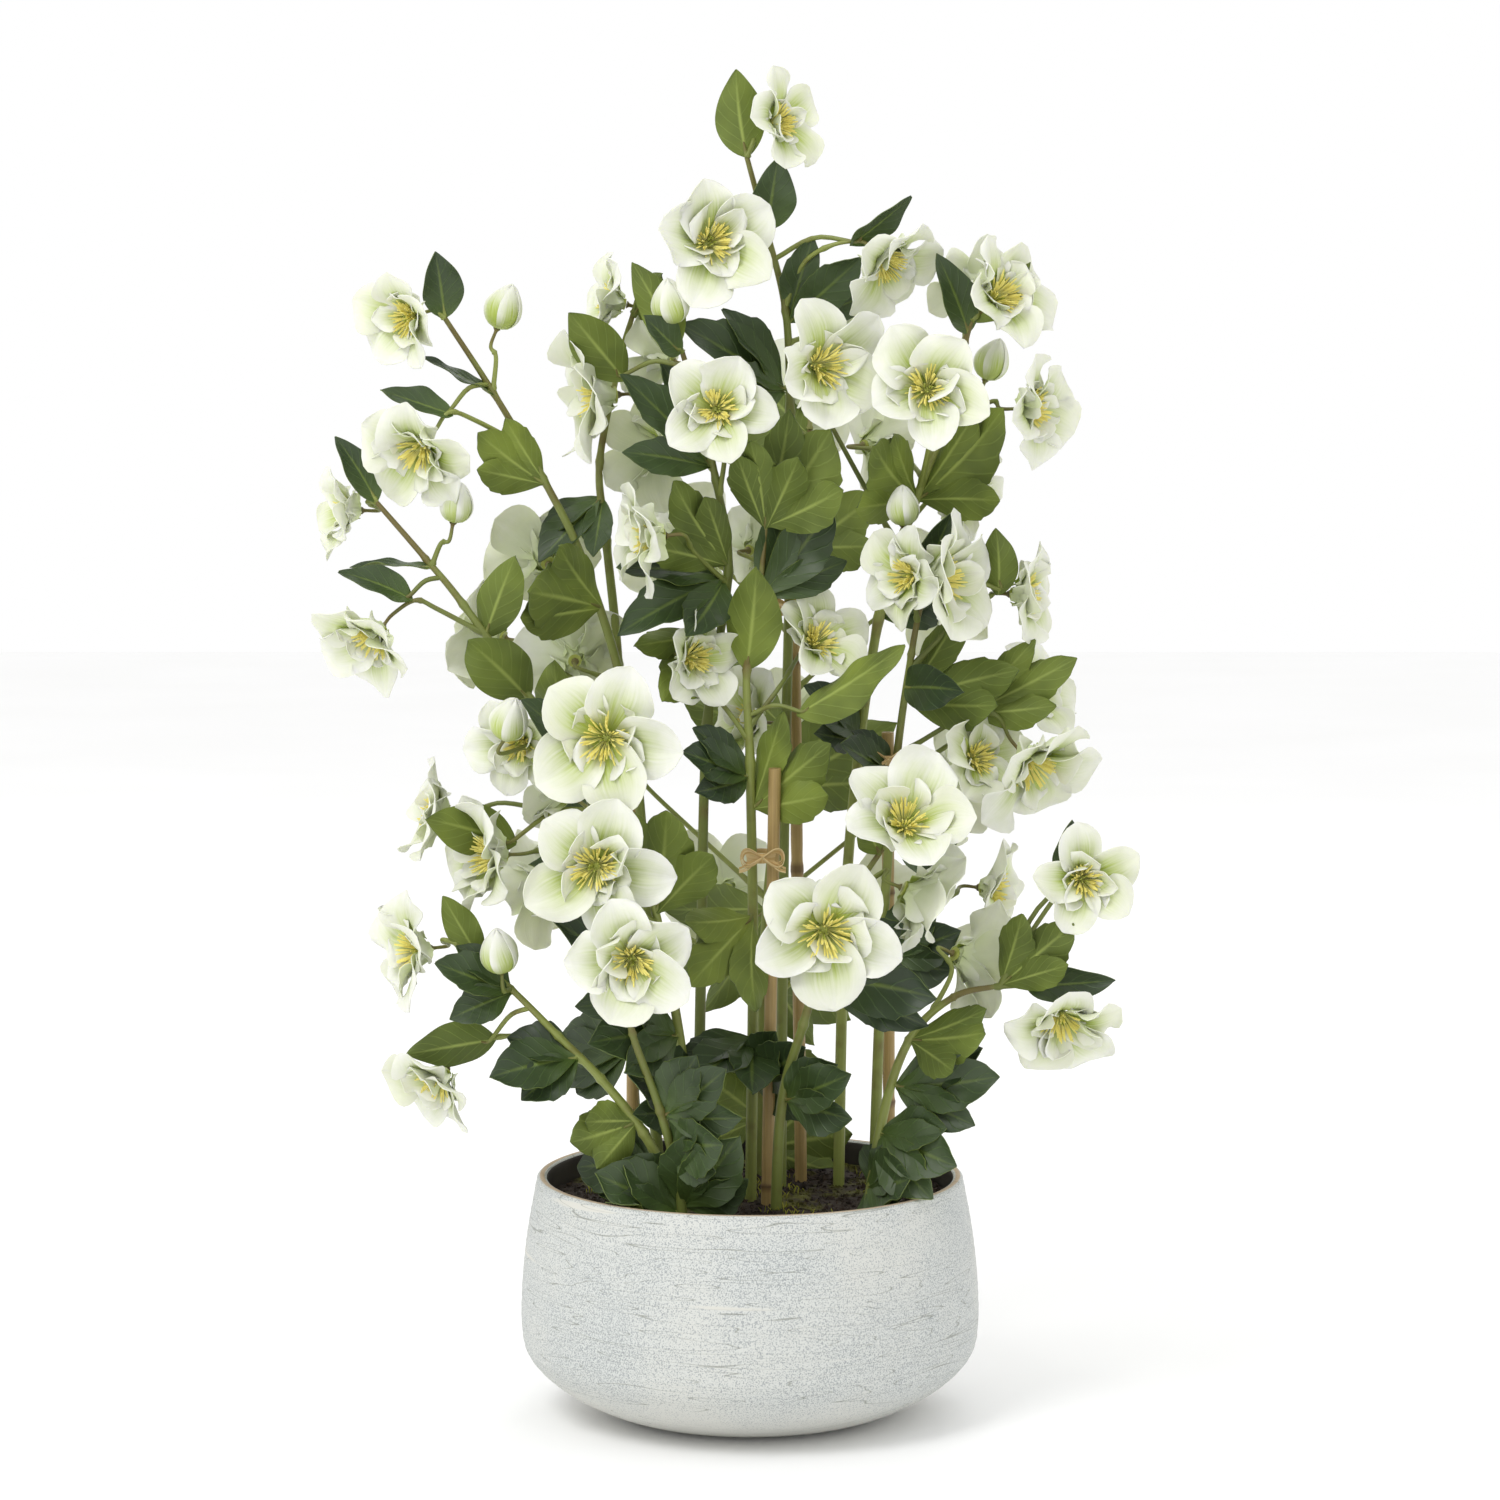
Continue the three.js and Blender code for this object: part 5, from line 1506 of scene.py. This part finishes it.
# %% Buds and crowded heads
def bud(length, seed):
    """Five sheets on an egg about +Z: at each height the sheet spans a third of the way round,
    its radius is the egg's profile, and it spirals out from one edge to the other."""
    draw = np.random.default_rng(seed)
    size = length * MM
    u = np.linspace(0.0, 1, 15)[:, None]
    v = np.linspace(-1, 1, 9)[None, :]
    egg = 0.42 * size * (np.sin(np.pi * u**0.92) ** 0.62 * (1 - 0.26 * u) + 0.04 * (1 - u))
    parts = []
    for k in range(PETALS):
        angle = 2 * np.pi * k / PETALS + 0.95 * v * (1 - 0.45 * u**3) + 0.5 * u
        radius = egg * (1 + 0.075 * v + 0.03 * np.abs(v) ** 3 * np.sin(6 * u + k)) + 0.0003
        z = size * (u - 1 / 3) + 0.02 * size * np.cos(np.pi * v) * u
        points = np.stack([radius * np.cos(angle), radius * np.sin(angle), z + 0 * radius], axis=-1)
        along = np.broadcast_to(u, radius.shape)
        across = np.broadcast_to(v, radius.shape)
        parts.append(sheet(points, along, across, 0.0005, draw.random(), 0))
    return joined(parts)


for number, spray in enumerate(SPRAYS):
    heads = []
    for k, (centre, turn, lift, width, _) in enumerate(spray["inner_blooms"]):
        seed = 5000 + 100 * number + k
        heads.append(aimed(flower(width, seed, 1.15), centre, turn, lift, 1.3 * seed))
    for k, (centre, turn, lift, length, _) in enumerate(spray["buds"]):
        seed = 9000 + 100 * number + k
        heads.append(aimed(bud(length, seed), centre, turn, lift, 1.3 * seed))
    if heads:
        place_mesh(spray["name"] + "_small_heads", joined(heads), BLOOM_FINISHES,
                   [spray["name"]], 1.2)
print("small heads placed")

# %% [markdown]
# ## Floor
# The plant stands on a seamless white sweep. One wide, flat sheet is enough, because its edge
# is far outside the view; a faint mottle keeps it from being one dead value.

# %% The sweep
FLOOR_HALF = 6.0


def white_sweep(add):
    """White paper with a very faint cloudiness over tens of centimetres."""
    place = add("TexCoord", {}, output="Object")
    cloud = add("TexNoise", {"Vector": place, "Scale": 3.0, "Detail": 2.0})
    return {
        "Base Color": add("Mix", {0: cloud, 6: linear("#f8f8f7"), 7: linear("#fdfdfd")}, **TINT),
        "Roughness": 0.95,
    }


FLOOR_DROP = 0.0004
corners = np.array([[-1, -1, 0], [1, -1, 0], [1, 1, 0], [-1, 1, 0]]) * FLOOR_HALF
corners = corners - [0, 0, FLOOR_DROP]
floor_mesh = bpy.data.meshes.new("sweep")
floor_mesh.from_pydata(corners.tolist(), [], [(0, 1, 2, 3)])
floor_mesh.materials.append(made_of("white paper sweep", white_sweep))
sweep = bpy.data.objects.new("sweep", floor_mesh)
scene.collection.objects.link(sweep)

# %% Sizes
total = sum(len(piece.data.polygons) for piece in scene.objects if piece.type == "MESH")
print("faces in the scene:", total)
